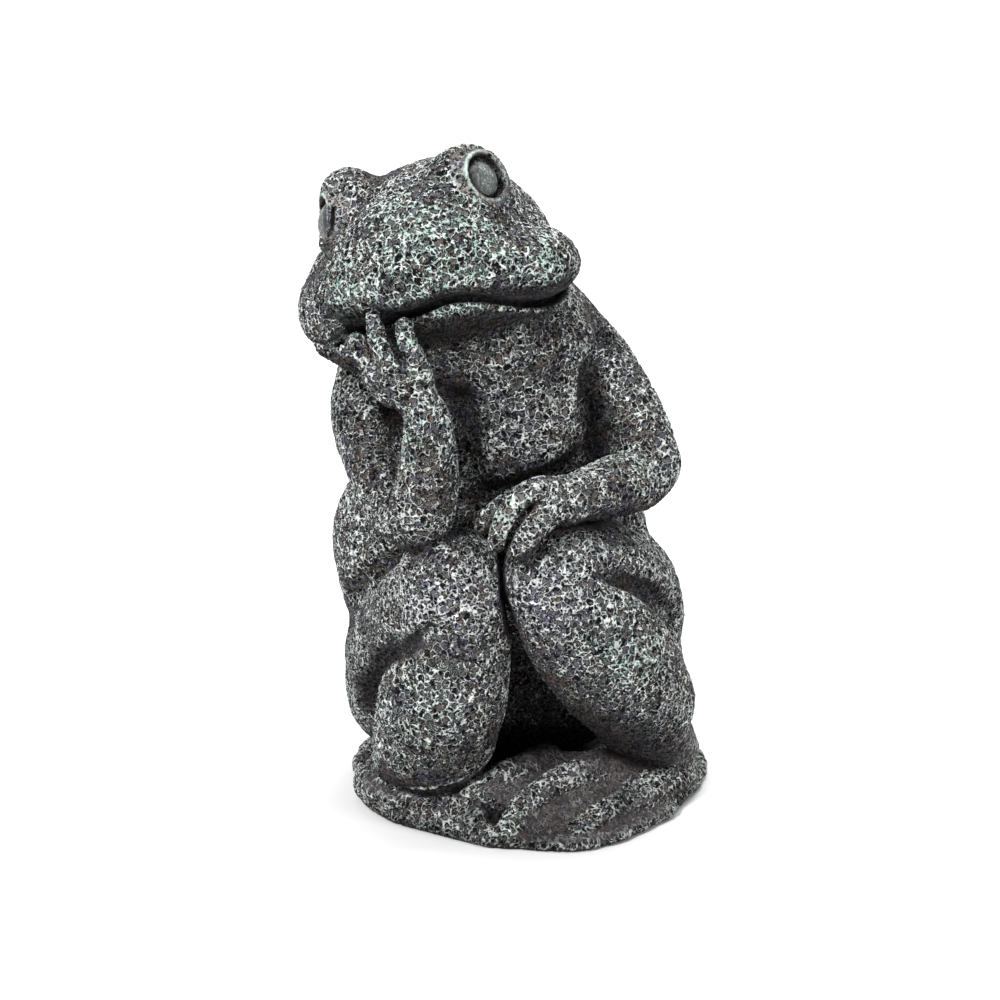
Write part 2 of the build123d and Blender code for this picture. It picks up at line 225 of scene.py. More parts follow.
def eye_frame(name):
    n = HEAD_R @ (EYE_N[name] / np.linalg.norm(EYE_N[name]))
    up = HEAD_R @ V(0, 0, 1)
    up = up - n * (up @ n)
    up /= np.linalg.norm(up)
    fore = np.cross(n, up)
    fore = fore if fore @ HEAD_R[:, 1] < 0 else -fore
    return H(*EYE_P[name]), n, up, fore


def slab_radius():
    p = np.array(SLAB) - SLAB_C
    th, r = np.arctan2(p[:, 1], p[:, 0]), np.hypot(p[:, 0], p[:, 1])
    o = np.argsort(th)
    th, r = th[o], r[o]
    T = np.linspace(-math.pi, math.pi, 721)
    R = np.interp(T, np.concatenate([th - 2 * math.pi, th, th + 2 * math.pi]), np.tile(r, 3))
    k = np.exp(-0.5 * (np.arange(-30, 31) / 9.0) ** 2)
    R = np.convolve(np.concatenate([R[-61:-1], R, R[1:61]]), k / k.sum(), 'same')[60:-60]
    R += 0.5 * np.sin(9 * T + 1) + 0.35 * np.sin(17 * T) + 0.25 * np.sin(29 * T + 2)
    return T, R


def lip(x, y):
    """height of the mouth line in the head's frame, rising towards its corners"""
    return np.interp(x, LIP_X, LIP_Z) + 6.5 * (np.clip(y, 0, 26) / 21) ** 2 * np.clip(x / 20, 0, 1)


def head_xyz(X, Y, Z):
    a, b, c = X - HEAD_O[0], Y - HEAD_O[1], Z - HEAD_O[2]
    return [a * HEAD_R[0, i] + b * HEAD_R[1, i] + c * HEAD_R[2, i] for i in range(3)]


def poly2(X, Y, poly):
    """signed distance to a closed polygon, negative inside"""
    p = np.array(poly, float)
    d = np.full(np.broadcast(X, Y).shape, 1e9)
    s = np.ones_like(d)
    for i in range(len(p)):
        a, b = p[i], p[i - 1]
        e = b - a
        wx, wy = X - a[0], Y - a[1]
        t = np.clip((wx * e[0] + wy * e[1]) / (e @ e), 0, 1)
        d = np.minimum(d, (wx - e[0] * t) ** 2 + (wy - e[1] * t) ** 2)
        c1, c2, c3 = Y >= a[1], Y < b[1], e[0] * wy > e[1] * wx
        s = np.where((c1 & c2 & c3) | (~c1 & ~c2 & ~c3), -s, s)
    return s * np.sqrt(d)


def sculpt(h, lo=(-83, -79, -3.2), hi=(84, 79, 263)):
    g = Grid(lo, hi, h)
    D = np.full(g.shape, FAR, np.float32)
    near = np.full(g.shape, FAR, np.float32)
    next_ = np.full(g.shape, FAR, np.float32)
    L = np.zeros(g.shape, np.int8)
    L2 = np.zeros(g.shape, np.int8)

    def claim(name, f):
        """keeps the nearest section and the next nearest one at each voxel"""
        me, a, b, n1, n2 = NAMES.index(name) + 1, near[f.sl], next_[f.sl], L[f.sl], L2[f.sl]
        first, second = f.d < a, (f.d >= a) & (f.d < b)
        b[...] = np.where(first, a, np.where(second, f.d, b))
        n2[...] = np.where(first, n1, np.where(second, me, n2))
        a[...] = np.where(first, f.d, a)
        n1[...] = np.where(first, me, n1)

    def join(name, f, k):
        D[f.sl] = smin(D[f.sl], f.d, k)
        claim(name, f)

    # ---------------- trunk
    t = Form(g, (-76, -52, 2), (72, 78, 216))
    t.el(V(0.8, 25, 50), V(57, 44, 48), k=10)
    t.el(V(1.5, 36, 30), V(46, 36, 30), k=12)
    t.el(V(-7.3, 15.5, 98), V(61.9, 43, 48), k=16)
    t.el(V(-13, 18, 76), V(50, 38, 32), k=14)
    t.el(V(-1.0, 1.5, 150), V(47, 36, 46), k=16)
    t.el(V(-10, -1.5, 184), V(42, 37, 26), k=12)
    t.el(V(-4, 27, 136), V(43, 36, 62), k=14)
    t.el(V(-12, 16, 190), V(34, 30, 28), k=14)
    t.el(V(22, 44, 158), V(17, 13, 27), axes(0, -8, 14), k=10)
    t.el(V(-28, 44, 160), V(17, 13, 27), axes(0, -8, -14), k=10)
    t.el(P(530, 430, -8), V(24, 21, 27), axes(0, -10, 6), k=8)
    t.tube([(V(-8, 66, 196), 4), (V(-5, 70, 160), 5), (V(-3, 71, 120), 5), (V(0, 76, 84), 4)], k=10, op=-1)
    join('torso', t, 0)

    # ---------------- head
    d = Form(g, (-82, -76, 166), (36, 48, 263))
    R_ = HEAD_R
    d.el(H(0, 0, -8), V(50.5, 47, 19), R_, k=6)
    d.el(H(-1.2, 10, 8), V(40.2, 41, 27), R_, k=14)
    d.el(H(4, 2, 22), V(22, 20, 14.6), R_, k=12)
    d.el(H(0, -20, 4), V(28, 26, 20), R_, k=14)
    d.el(H(-41, -8, -12.4), V(12.0, 16, 13.0), R_, k=6)
    d.el(H(-36, -6, -1), V(8.8, 14, 11), R_, k=8)
    d.el(H(-36.5, -16, -19.2), V(10.5, 13, 9.4), R_, k=8)
    d.el(H(42.6, -1, -7.9), V(12.0, 20, 12.7), R_, k=6)
    d.el(H(21.0, -11.2, 26.0), V(14.0, 14.6, 14.2), R_, k=9)
    d.el(H(-25.6, -13.0, 26.0), V(11.6, 13.6, 13.4), R_, k=8)
    for name in ('left_eye', 'right_eye'):
        o, n, up, fore = eye_frame(name)
        d.el(o - n * 4.4, V(10.9, 5.2, 10.9), np.stack([fore, n, up], 1), k=4)
    d.el(H(1, -44, -15), V(7, 5, 5), R_, k=6)

    def above_lip(X, Y, Z):
        x, y, z = head_xyz(X, Y, Z)
        return (z - lip(x, y)) * 0.95
    whole = d.d.copy()
    d.put(HEAD_O - 75, HEAD_O + 75, above_lip, 5.5, -1)
    j = Form(g, (-82, -76, 166), (36, 48, 263))
    j.el(H(0, 3, -14), V(48, 44, 18), R_, k=4)
    j.el(H(42.2, -1, -9.8), V(11.9, 20, 13.0), R_, k=4)
    j.el(H(-30.5, -12, -24.0), V(17.0, 18.5, 8.8), R_, k=5)
    j.el(H(-24, -10, -29), V(14, 18, 9), R_, k=7)
    whole = np.minimum(whole, j.d)

    def below_lip(X, Y, Z):
        x, y, z = head_xyz(X, Y, Z)
        return -(z - lip(x, y) + np.interp(x, [-36, -31, -27, -20, -14, 42, 53], [-2.6, 0.6, 4.2, 4.2, 2.3, 2.5, 0.5]))
    j.put(HEAD_O - 75, HEAD_O + 75, below_lip, 2.2, -1)
    d.d = smin(d.d, j.d, 0.8)
    d.d = smin(d.d, whole + 4.6, 0.8)
    join('head', d, 9)
    # mouth line cut again, fading out towards its corners
    loc = d.sl

    X, Y, Z = g.pts(loc)
    x, y, z = head_xyz(X, Y, Z)
    half = 1.15 * np.clip((30 - y) / 12, 0, 1) * np.interp(x, [-36, -31, 42, 53], [0.1, 1.0, 1.0, 0.4])
    gr = smax(np.abs(z - lip(x, y) + np.interp(x, [-36, -31, 42, 53], [0.0, 1.15, 1.15, 0.4])) - half, smax(-(whole + 5.0), whole - 2.0, 1.0), 0.8)
    gr = np.where(y < 30, gr, 5.0)
    D[loc] = smax(D[loc], -gr, 1.0)

    # ---------------- shoulders and upper arms
    ua = Form(g, (-82, -60, 100), (-10, 40, 200))
    ua.tube([(P(382, 372, 6), 16.5), (P(370, 412, -6), 14.8), (P(377, 455, -20), 13.0), (P(396, 500, -40), 12.6)], k=5)
    join('right_arm', ua, 9)
    ub = Form(g, (5, -50, 110), (82, 40, 204))
    ub.tube([(P(549, 333, 10), 16.3), (P(587, 359, 3), 15), (P(613, 394, -5), 14.2), (P(634, 432, -11), 13.8), (P(643, 459, -16), 13.6)], k=5)
    join('left_arm', ub, 9)

    # ---------------- legs
    rl = Form(g, (-80, -78, 2), (16, 64, 128))
    rl.tube([(P(418, 652, 26), 27), (P(414, 648, 2), 26.5), (P(430, 612, -28), 22), (P(450, 576, -50), 18.3)], k=5)
    rl.el(P(403, 692, 18), V(22, 24, 21.5), k=9)
    rs = Form(g, (-80, -78, 2), (16, 64, 128))
    rs.tube([(P(452, 578, -53), 18.3), (P(455, 640, -54), 20.3), (P(444, 690, -48), 24), (P(436, 730, -40), 23)], k=5)
    rs.tube([(P(432, 738, -38), 20), (P(412, 756, -26), 14.6), (P(393, 767, -8), 9.0)], k=7)
    rl.d = smin(rl.d, rs.d, 3.0)
    ll = Form(g, (-8, -78, 2), (83, 64, 130))
    ll.tube([(P(609, 640, 26), 27.5), (P(618, 606, -4), 25.2), (P(598, 580, -33), 22.5), (P(560, 572, -50), 20)], k=5)
    ll.el(P(629, 573, 8), V(15.2, 17, 16.0), k=8)
    ls = Form(g, (-8, -78, 2), (83, 64, 130))
    ls.tube([(P(555, 578, -52), 20), (P(582, 622, -50), 23.4), (P(613, 664, -42), 24.2), (P(641, 700, -28), 20.5)], k=5)
    ls.el(P(639, 664, -10), V(16.6, 24, 27), k=8)
    ls.tube([(P(636, 712, -24), 16), (P(656, 733, -16), 14.2), (P(672, 750, 0), 10.4)], k=7)
    ll.d = smin(ll.d, ls.d, 3.0)
    # the two legs press together at the knees
    D2 = np.full(g.shape, FAR, np.float32)
    D2[rl.sl] = rl.d
    D2[ll.sl] = smin(D2[ll.sl], ll.d, 1.0)
    D[:] = smin(D, D2, 5.0)
    del D2
    for name, f in (('right_leg', rl), ('left_leg', ll)):
        claim(name, f)

    # ---------------- forearms and hands
    ra = Form(g, (-76, -76, 100), (-4, -20, 216))
    ra.tube([(P(404, 510, -46), 12.4), (P(418, 516, -55), 12.4), (P(427, 485, -58), 11.2), (P(429, 450, -59), 9.6), (P(427, 420, -59), 8.0), (P(416, 397, -58), 6.9)], k=5)
    ra.el(P(403, 383, -57), V(11, 6.2, 8.5), axes(0, 0, 24), k=4)
    for f in ([(P(420, 377, -59), 4.4), (P(414, 357, -60.8), 3.7), (P(409, 345, -61.4), 3.3), (P(405, 335, -60.8), 3.0), (P(404.5, 325, -59), 2.7)],
              [(P(398, 379, -59), 4.6), (P(389, 365, -60.3), 3.8), (P(382, 349, -59.6), 3.5), (P(376, 332, -57.8), 3.1), (P(372.5, 318, -55.5), 2.3)],
              [(P(394, 385, -58), 4.6), (P(381, 376, -58), 4.0), (P(370, 364, -56), 3.6), (P(361, 351, -53), 3.2), (P(356, 340, -49), 2.8)],
              [(P(396, 392, -57), 5.0), (P(382, 385, -54.5), 4.2), (P(370, 376, -50.5), 3.2)]):
        ra.tube(f, k=1.6, n=3)
    join('right_arm', ra, 2.5)
    la = Form(g, (-18, -78, 104), (72, 0, 152))
    la.tube([(P(643, 466, -18), 13.6), (P(636, 477, -23), 12.6), (P(612, 487, -37), 11.2), (P(582, 496, -50), 9.2), (P(562, 499, -57), 8.2)], k=5)
    la.el(P(552, 504, -60), V(10.5, 8, 7), axes(10, 0, -10), k=4)
    for f in ([(P(556, 492, -60), 5.0), (P(538, 490, -63), 4.6), (P(521, 499, -66), 4.0), (P(507, 516, -68.5), 3.7), (P(499, 533, -69.3), 3.5), (P(497, 543, -69), 3.1)],
              [(P(572, 505, -58), 6.4), (P(551, 512, -65), 5.4), (P(535, 526, -68.8), 4.9), (P(525, 540, -70), 4.4), (P(520, 549, -70), 3.8)],
              [(P(528, 494, -60), 4.2), (P(507, 503, -61), 3.6), (P(490, 515, -62), 3.1), (P(481, 527, -62), 2.7)]):
        la.tube(f, k=1.6, n=3)
    join('left_arm', la, 2.5)

    # ---------------- feet
    lf = Form(g, (-30, -78, 0), (83, 20, 34))

    def leaf(poly, top):
        """flat web between the toes: a polygon seen from above, its top a sloping plane"""
        def fn(X, Y, Z):
            e = poly2(X[:, :, 0], Y[:, :, 0], poly)[:, :, None] + 2.0
            w = (Z - (top[0] + top[1] * X + top[2] * Y)) * 0.93
            return np.sqrt(np.maximum(e, 0) ** 2 + np.maximum(w + 2.0, 0) ** 2) + np.minimum(np.maximum(e, w + 2.0), 0) - 2.0
        return fn
    inner, outer, mid = TOES['inner'], TOES['outer'], TOES['mid']

    def plane(stations, k):
        """plane through the stations, raised by k of their radius"""
        a = np.array([[1.0, p[0], p[1]] for p, r in stations])
        return np.linalg.lstsq(a, np.array([p[2] + k * r for p, r in stations]), rcond=None)[0]
    web = [tuple(p[:2]) for p, r in outer[::-1]] + [tuple(p[:2]) for p, r in inner]
    lf.put(V(-30, -78, 0), V(83, 20, 30), leaf(web, plane(inner[1:] + outer[1:], 0.45)), 0)
    web = [tuple(p[:2]) for p, r in inner[:5]] + [(4.0, -62.0), (-6.0, -57.0)] + [tuple(p[:2]) for p, r in mid[::-1]]
    lf.put(V(-30, -78, 0), V(83, 20, 30), leaf(web, plane(inner[1:6] + mid[1:], 0.35)), 1.5)
    lf.el(P(632, 774, -18), V(26, 22, 10.0), axes(-28, 0, 0), k=5)
    for line in (mid, inner, outer):
        lf.tube(line, k=3.2)
    join('left_foot', lf, 2.2)
    rf = Form(g, (-74, -78, 0), (10, 20, 28))
    edge_ = TOES['edge']
    web = [tuple(p[:2]) for p, r in edge_] + [(0.0, -64.0), (-8.0, -54.0), (-12.0, -44.0), (-16.0, -20.0), (-52.0, -14.0)]
    rf.put(V(-74, -78, 0), V(10, 20, 28), leaf(web, (11.6, 0.0, 0.10)), 0)
    rf.el(P(425, 790, -38), V(25, 15, 5.0), axes(18, 0, 0), k=5)
    rf.tube(edge_, k=4)
    rf.tube([(P(452, 800, -50), 4.6), (P(478, 815, -58), 3.6)], k=5)
    join('right_foot', rf, 2.2)

    # ---------------- ground slab
    s = Form(g, (-82, -78, -3.2), (83, 78, 20))
    T, R = slab_radius()

    def slab(X, Y, Z):
        th = np.arctan2(Y - SLAB_C[1], X - SLAB_C[0])
        dr = np.hypot(X - SLAB_C[0], Y - SLAB_C[1]) - np.interp(th, T, R).astype(np.float32)
        top = 5.4 + 0.5 * np.sin(X * 0.09 + 1) * np.cos(Y * 0.07)
        dz = np.maximum(Z - top, -Z)
        r = 2.4
        a, b = np.maximum(dr + r, 0), np.maximum(dz + r, 0)
        return np.sqrt(a * a + b * b) + np.minimum(np.maximum(dr + r, dz + r), 0) - r
    s.put(V(-80, -76, 0), V(81, 76, 8), slab, 0)
    join('ground_slab', s, 2.5)

    # ---------------- small carvings
    top = Form(g, (-99, -99, -9), (99, 99, 299))
    top.d = D
    top.tube([(P(600, 574, -63), 0.3), (P(613, 580, -56.5), 1.4), (P(628, 585.5, -49.5), 2.0), (P(643, 592, -42), 2.1), (P(657, 603, -33), 1.9), (P(670, 618, -21), 1.3)], k=9, op=-1)
    top.tube([(P(438, 626, -72), 0.3), (P(422, 640, -66), 1.4), (P(407, 653, -54.5), 2.2), (P(392, 664, -40.5), 2.6), (P(380, 680, -26.5), 2.7), (P(373, 700, -12), 2.5), (P(371, 716, -3), 1.8)], k=9, op=-1)
    top.tube([(P(412, 558, -40), 1.4), (P(397, 563, -22), 2.4), (P(381, 572, -15.8), 2.9), (P(366, 583, -10.4), 2.5), (P(352, 598, -1), 1.8)], k=8, op=-1)
    top.tube([(P(602, 338, -10), 1.2), (P(593, 372, -17), 2.6), (P(589, 402, -22), 3.4), (P(595, 428, -23), 3.4), (P(610, 443, -23), 2.6), (P(636, 444, -26.5), 1.8), (P(664, 455, -29), 1.0)], k=7, op=-1)
    top.tube([(P(389, 392, -12), 2.4), (P(394, 420, -20), 4.4), (P(399, 445, -31), 4.6), (P(403, 466, -41), 2.6)], k=7, op=-1)
    top.tube([(P(461, 398, -29), 2.4), (P(464, 450, -29), 4.6), (P(464, 500, -27), 5.0)], k=10, op=-1)
    top.tube([(P(585, 374, -17), 2.0), (P(592, 400, -17), 4.0), (P(598, 425, -18), 5.0), (P(596, 446, -20), 5.4), (P(582, 463, -24.5), 5.0), (P(562, 475, -27), 4.8), (P(540, 484, -28.5), 4.6), (P(515, 494, -28.5), 4.8), (P(490, 503, -28), 4.8), (P(464, 511, -27), 4.4)], k=8, op=-1)
    # eye sockets, then their raised rims
    for name in ('left_eye', 'right_eye'):
        o, n, up, fore = eye_frame(name)
        lid = (up * 0.62 + fore * 0.78)

        def ring(radius, level, thick, o=o, n=n, lid=lid):
            def fn(X, Y, Z):
                px, py, pz = X - o[0], Y - o[1], Z - o[2]
                w = px * n[0] + py * n[1] + pz * n[2]
                v = px * lid[0] + py * lid[1] + pz * lid[2]
                rad = np.sqrt(np.maximum(px * px + py * py + pz * pz - w * w, 0))
                c = v / np.maximum(rad, 1e-3)
                return np.sqrt((rad - radius) ** 2 + (w - level(c)) ** 2) - thick(c)
            return fn
        top.put(o - 15, o + 15, ring(RIM_R - 0.2, lambda c: 0.2 + 0.9 * np.clip(c, 0, 1), lambda c: 0.55 + 0.35 * np.clip(c, 0, 1)), 2.4)
        top.put(o - 17, o + 17, ring(12.2, lambda c: 1.2 + 0 * c, lambda c: (1.8 if name == 'left_eye' else 0.9) * np.clip((c - 0.1) / 0.4, 0, 1) - 0.3), 0.9, -1)
        top.rc(o - n * BALL_IN, o + n * 9, BALL_R + 0.04, BALL_R + 0.1, k=0.4, op=-1)
        top.put(o - 15, o + 15, ring(8.85, lambda c: -0.7 + 0 * c, lambda c: 1.0 + 0.35 * np.clip(-c, 0, 1)), 0.5, -1)
    np.maximum(D, -top.g.ax[2][None, None, :], out=D)
    # seat for the disc under the slab
    X, Y, Z = g.pts(top.sl)
    D[:] = np.maximum(D, -np.maximum(np.hypot(X - 0.5, Y - 25.0) - 28.05, Z - 4.3))
    L[L == 0] = 2
    return g, D, np.where(D < 0, L, 0).astype(np.int8), L2, next_ - near


# ------------------------------------------------------------------ sections and their meshes
def fill(mask, seed):
    """the part of mask joined to seed"""
    out = np.zeros_like(mask)
    out[seed] = True
    count = 0
    while True:
        for ax in range(3):
            o, m = np.moveaxis(out, ax, 0), np.moveaxis(mask, ax, 0)
            for i in range(1, len(o)):
                o[i] |= o[i - 1] & m[i]
            for i in range(len(o) - 2, -1, -1):
                o[i] |= o[i + 1] & m[i]
        n = int(out.sum())
        if n == count:
            return out
        count = n


def settle(D, lab, lab2):
    """each section in one piece, no crumbs, no sealed pockets, and no two voxels that meet only at an edge"""
    out = fill(lab == 0, (0, 0, 0))
    shut = (lab == 0) & ~out
    lab[shut] = np.where(lab2[shut] > 0, lab2[shut], 1)
    D[shut] = -0.05
    body = lab > 0
    loose = body & ~fill(body, np.unravel_index(int(D.argmin()), D.shape))
    lab[loose] = 0
    D[loose] = 0.05
    for n in range(1, len(NAMES) + 1):
        at = np.argwhere(lab == n)
        lo, hi = at.min(0), at.max(0) + 1
        box = tuple(slice(a, b) for a, b in zip(lo, hi))
        mine = lab[box] == n
        deep = np.where(mine, D[box], 1.0)
        keep = fill(mine, np.unravel_index(int(deep.argmin()), deep.shape))
        away = mine & ~keep
        part, other = lab[box], lab2[box]
        part[away] = other[away]
    for _ in range(8):
        changed = 0
        for ax in range(3):
            u, v = [a for a in range(3) if a != ax]
            L = np.moveaxis(lab, (u, v), (0, 1))
            E = np.moveaxis(D, (u, v), (0, 1))
            a, b, c, d = L[:-1, :-1], L[1:, :-1], L[:-1, 1:], L[1:, 1:]
            w = (a == d) & (a != b) & (a != c) & (a != 0)
            b[w] = a[w]
            E[1:, :-1][w] = np.minimum(E[1:, :-1][w], -0.05)
            changed += int(w.sum())
            w = (b == c) & (a != b) & (d != b) & (b != 0)
            a[w] = b[w]
            E[:-1, :-1][w] = np.minimum(E[:-1, :-1][w], -0.05)
            changed += int(w.sum())
            w = (a == d) & (a != b) & (a != c) & (a == 0)
            if w.any():
                a[w] = b[w]
                E[:-1, :-1][w] = np.minimum(E[:-1, :-1][w], -0.05)
                changed += int(w.sum())
        if not changed:
            break


def sample(A, q):
    """A between its voxels, at voxel places q"""
    i = np.clip(q.astype(np.int32), 0, np.array(A.shape) - 2)
    f = (q - i).astype(np.float32)
    r = 0
    for a in (0, 1):
        wa = f[:, 0] if a else 1 - f[:, 0]
        for b in (0, 1):
            wb = wa * (f[:, 1] if b else 1 - f[:, 1])
            for c in (0, 1):
                r = r + wb * (f[:, 2] if c else 1 - f[:, 2]) * A[i[:, 0] + a, i[:, 1] + b, i[:, 2] + c]
    return r


def slope(A, q, e=0.6):
    s = np.stack([sample(A, q + e * k) - sample(A, q - e * k) for k in np.eye(3, dtype=np.float32)], 1)
    return s / np.maximum(np.linalg.norm(s, axis=1, keepdims=True), 1e-9)


def nets(g, D, lab, diff):
    S = np.array(lab.shape)
    c0 = lab[:-1, :-1, :-1]
    mixed = np.zeros(S - 1, bool)
    for i in (0, 1):
        for j in (0, 1):
            for k in (0, 1):
                mixed |= lab[i:S[0] - 1 + i, j:S[1] - 1 + j, k:S[2] - 1 + k] != c0
    cells = np.flatnonzero(mixed)
    ijk = np.stack(np.unravel_index(cells, mixed.shape), 1)
    index = np.full(mixed.size, -1, np.int32)
    index[cells] = np.arange(len(cells))
    index = index.reshape(mixed.shape)

    def at(A, o):
        return A[ijk[:, 0] + o[0], ijk[:, 1] + o[1], ijk[:, 2] + o[2]]
    acc = [np.zeros((len(cells), 3), np.float32) for _ in (0, 1)]
    cnt = [np.zeros(len(cells), np.float32) for _ in (0, 1)]
    for ax in range(3):
        o1, o2 = [a for a in range(3) if a != ax]
        for u in (0, 1):
            for v in (0, 1):
                a = [0, 0, 0]
                a[o1], a[o2] = u, v
                b = list(a)
                b[ax] = 1
                la, lb = at(lab, a), at(lab, b)
                outer = (la == 0) != (lb == 0)
                joint = (la != lb) & ~outer
                for w, A, sgn, q in ((outer, D, -1, 0), (joint, diff, 1, 1)):
                    x, y = at(A, a)[w], at(A, b)[w]
                    t = np.clip(x / np.where(np.abs(x + sgn * y) < 1e-6, 1e-6, x + sgn * y), 0.03, 0.97)
                    pos = np.tile(np.array(a, np.float32), (len(t), 1))
                    pos[:, ax] = t
                    acc[q][w] += pos
                    cnt[q][w] += 1
    surf = cnt[0] > 0
    P_ = np.where(surf[:, None], acc[0] / np.maximum(cnt[0], 1)[:, None], acc[1] / np.maximum(cnt[1], 1)[:, None])
    P_ = P_ + ijk
    quads, own = [], []
    for ax in range(3):
        o1, o2 = (ax + 1) % 3, (ax + 2) % 3
        a = np.moveaxis(lab, (ax, o1, o2), (0, 1, 2))
        p, q = a[:-1, 1:-1, 1:-1], a[1:, 1:-1, 1:-1]
        w = p != q
        i, j, k = np.nonzero(w)
        idx = np.moveaxis(index, (ax, o1, o2), (0, 1, 2))
        quads.append(np.stack([idx[i, j, k], idx[i, j + 1, k], idx[i, j + 1, k + 1], idx[i, j, k + 1]], 1))
        own.append(np.stack([p[w], q[w]], 1))
    return P_.astype(np.float32), surf, np.concatenate(quads), np.concatenate(own)


def edges_of(quads):
    e = np.concatenate([quads[:, [0, 1]], quads[:, [1, 2]], quads[:, [2, 3]], quads[:, [3, 0]]])
    e.sort(1)
    return np.unique(e, axis=0)


def relax(p, e, move, step):
    n = len(p)
    deg = np.bincount(e.ravel(), minlength=n).astype(np.float32)
    s = np.stack([np.bincount(e[:, 0], p[e[:, 1], k], n) + np.bincount(e[:, 1], p[e[:, 0], k], n) for k in range(3)], 1)
    ok = move & (deg > 0)
    p[ok] += step * (s[ok] / deg[ok, None] - p[ok]).astype(np.float32)


def vertex_normals(p, quads):
    a, b = p[quads[:, 2]] - p[quads[:, 0]], p[quads[:, 3]] - p[quads[:, 1]]
    f = np.cross(a, b)
    n = np.stack([sum(np.bincount(quads[:, c], f[:, k], len(p)) for c in range(4)) for k in range(3)], 1)
    return n / np.maximum(np.linalg.norm(n, axis=1, keepdims=True), 1e-12)


# ------------------------------------------------------------------ node helper
class Net:
    """adds nodes of the kinds that a material and a geometry tree share"""

    def __init__(self, tree):
        self.t = tree

    def put(self, kind, ins=(), **props):
        n = self.t.nodes.new(kind)
        for k, v in props.items():
            setattr(n, k, v)
        for k, v in dict(ins).items():
            if v is None:
                continue
            s = n.inputs[k]
            if isinstance(v, bpy.types.NodeSocket):
                self.t.links.new(v, s)
            else:
                s.default_value = v
        return n

    def m(self, op, a, b=None, c=None, clamp=False):
        return self.put("ShaderNodeMath", {0: a, 1: b, 2: c}, operation=op, use_clamp=clamp).outputs[0]

    def vm(self, op, a, b=None, s=None):
        ins = {0: a, 1: b}
        if s is not None:
            ins["Scale"] = s
        n = self.put("ShaderNodeVectorMath", ins, operation=op)
        return n.outputs["Value" if op in ("DOT_PRODUCT", "LENGTH", "DISTANCE") else "Vector"]

    def noise(self, p, scale, detail=2.0, rough=0.5, off=(0, 0, 0), colour=False, dist=0.0):
        if any(off):
            p = self.vm("ADD", p, off)
        n = self.put("ShaderNodeTexNoise", {"Vector": p, "Scale": scale, "Detail": detail, "Roughness": rough, "Distortion": dist})
        return n.outputs["Color" if colour else 0]

    def cells(self, p, scale, feature="DISTANCE_TO_EDGE", off=(0, 0, 0), out="Distance"):
        if any(off):
            p = self.vm("ADD", p, off)
        return self.put("ShaderNodeTexVoronoi", {"Vector": p, "Scale": scale, "Randomness": 1.0}, feature=feature).outputs[out]

    def ramp(self, v, a, b, c=0.0, d=1.0, smooth=True):
        return self.put("ShaderNodeMapRange", {"Value": v, "From Min": a, "From Max": b, "To Min": c, "To Max": d},
                        interpolation_type="SMOOTHSTEP" if smooth else "LINEAR").outputs[0]

    def mix(self, f, a, b):
        return self.put("ShaderNodeMix", {0: f, 2: a, 3: b}).outputs[0]

    def col(self, f, a, b, mode="MIX"):
        a, b = [v if isinstance(v, bpy.types.NodeSocket) else (*v, 1.0) for v in (a, b)]
        return self.put("ShaderNodeMix", {0: f, 6: a, 7: b}, data_type="RGBA", blend_type=mode).outputs[2]


def crackle(N, p):
    """the cast surface, from its place in millimetres: a broken, worm-like net of ridges over small pits"""
    w1 = N.vm("SCALE", N.vm("SUBTRACT", N.noise(p, 0.36, 2.0, colour=True), (0.5, 0.5, 0.5)), s=2.6)
    w2 = N.vm("SCALE", N.vm("SUBTRACT", N.noise(p, 0.95, 1.0, off=(31, 7, 12), colour=True), (0.5, 0.5, 0.5)), s=0.9)
    q = N.vm("ADD", N.vm("ADD", p, w1), w2)
    big = N.cells(q, 1 / 2.8)
    small = N.m("MULTIPLY", N.cells(q, 1 / 2.0, off=(17.3, 4.1, 9.7)), 0.82)
    pick = N.ramp(N.noise(p, 0.13, 3.0, 0.6, off=(5, 50, 9)), 0.46, 0.56)
    net = N.mix(pick, big, small)
    worm = N.m("ABSOLUTE", N.m("SUBTRACT", N.noise(q, 0.36, 1.0, off=(71, 3, 18)), 0.5))
    some = N.ramp(N.noise(p, 0.21, 2.0, 0.6, off=(4, 14, 77)), 0.46, 0.56, 0.30, 0.02)
    net = N.m("MINIMUM", net, N.m("MULTIPLY_ADD", worm, 3.2, some))
    gap = N.noise(p, 0.30, 3.0, 0.6, off=(3, 90, 41))
    net = N.m("ADD", net, N.ramp(gap, 0.52, 0.66, 0.0, 0.08))
    lump = N.noise(p, 0.11, 3.0, 0.5, off=(9, 9, 70))
    return net, gap, lump, q


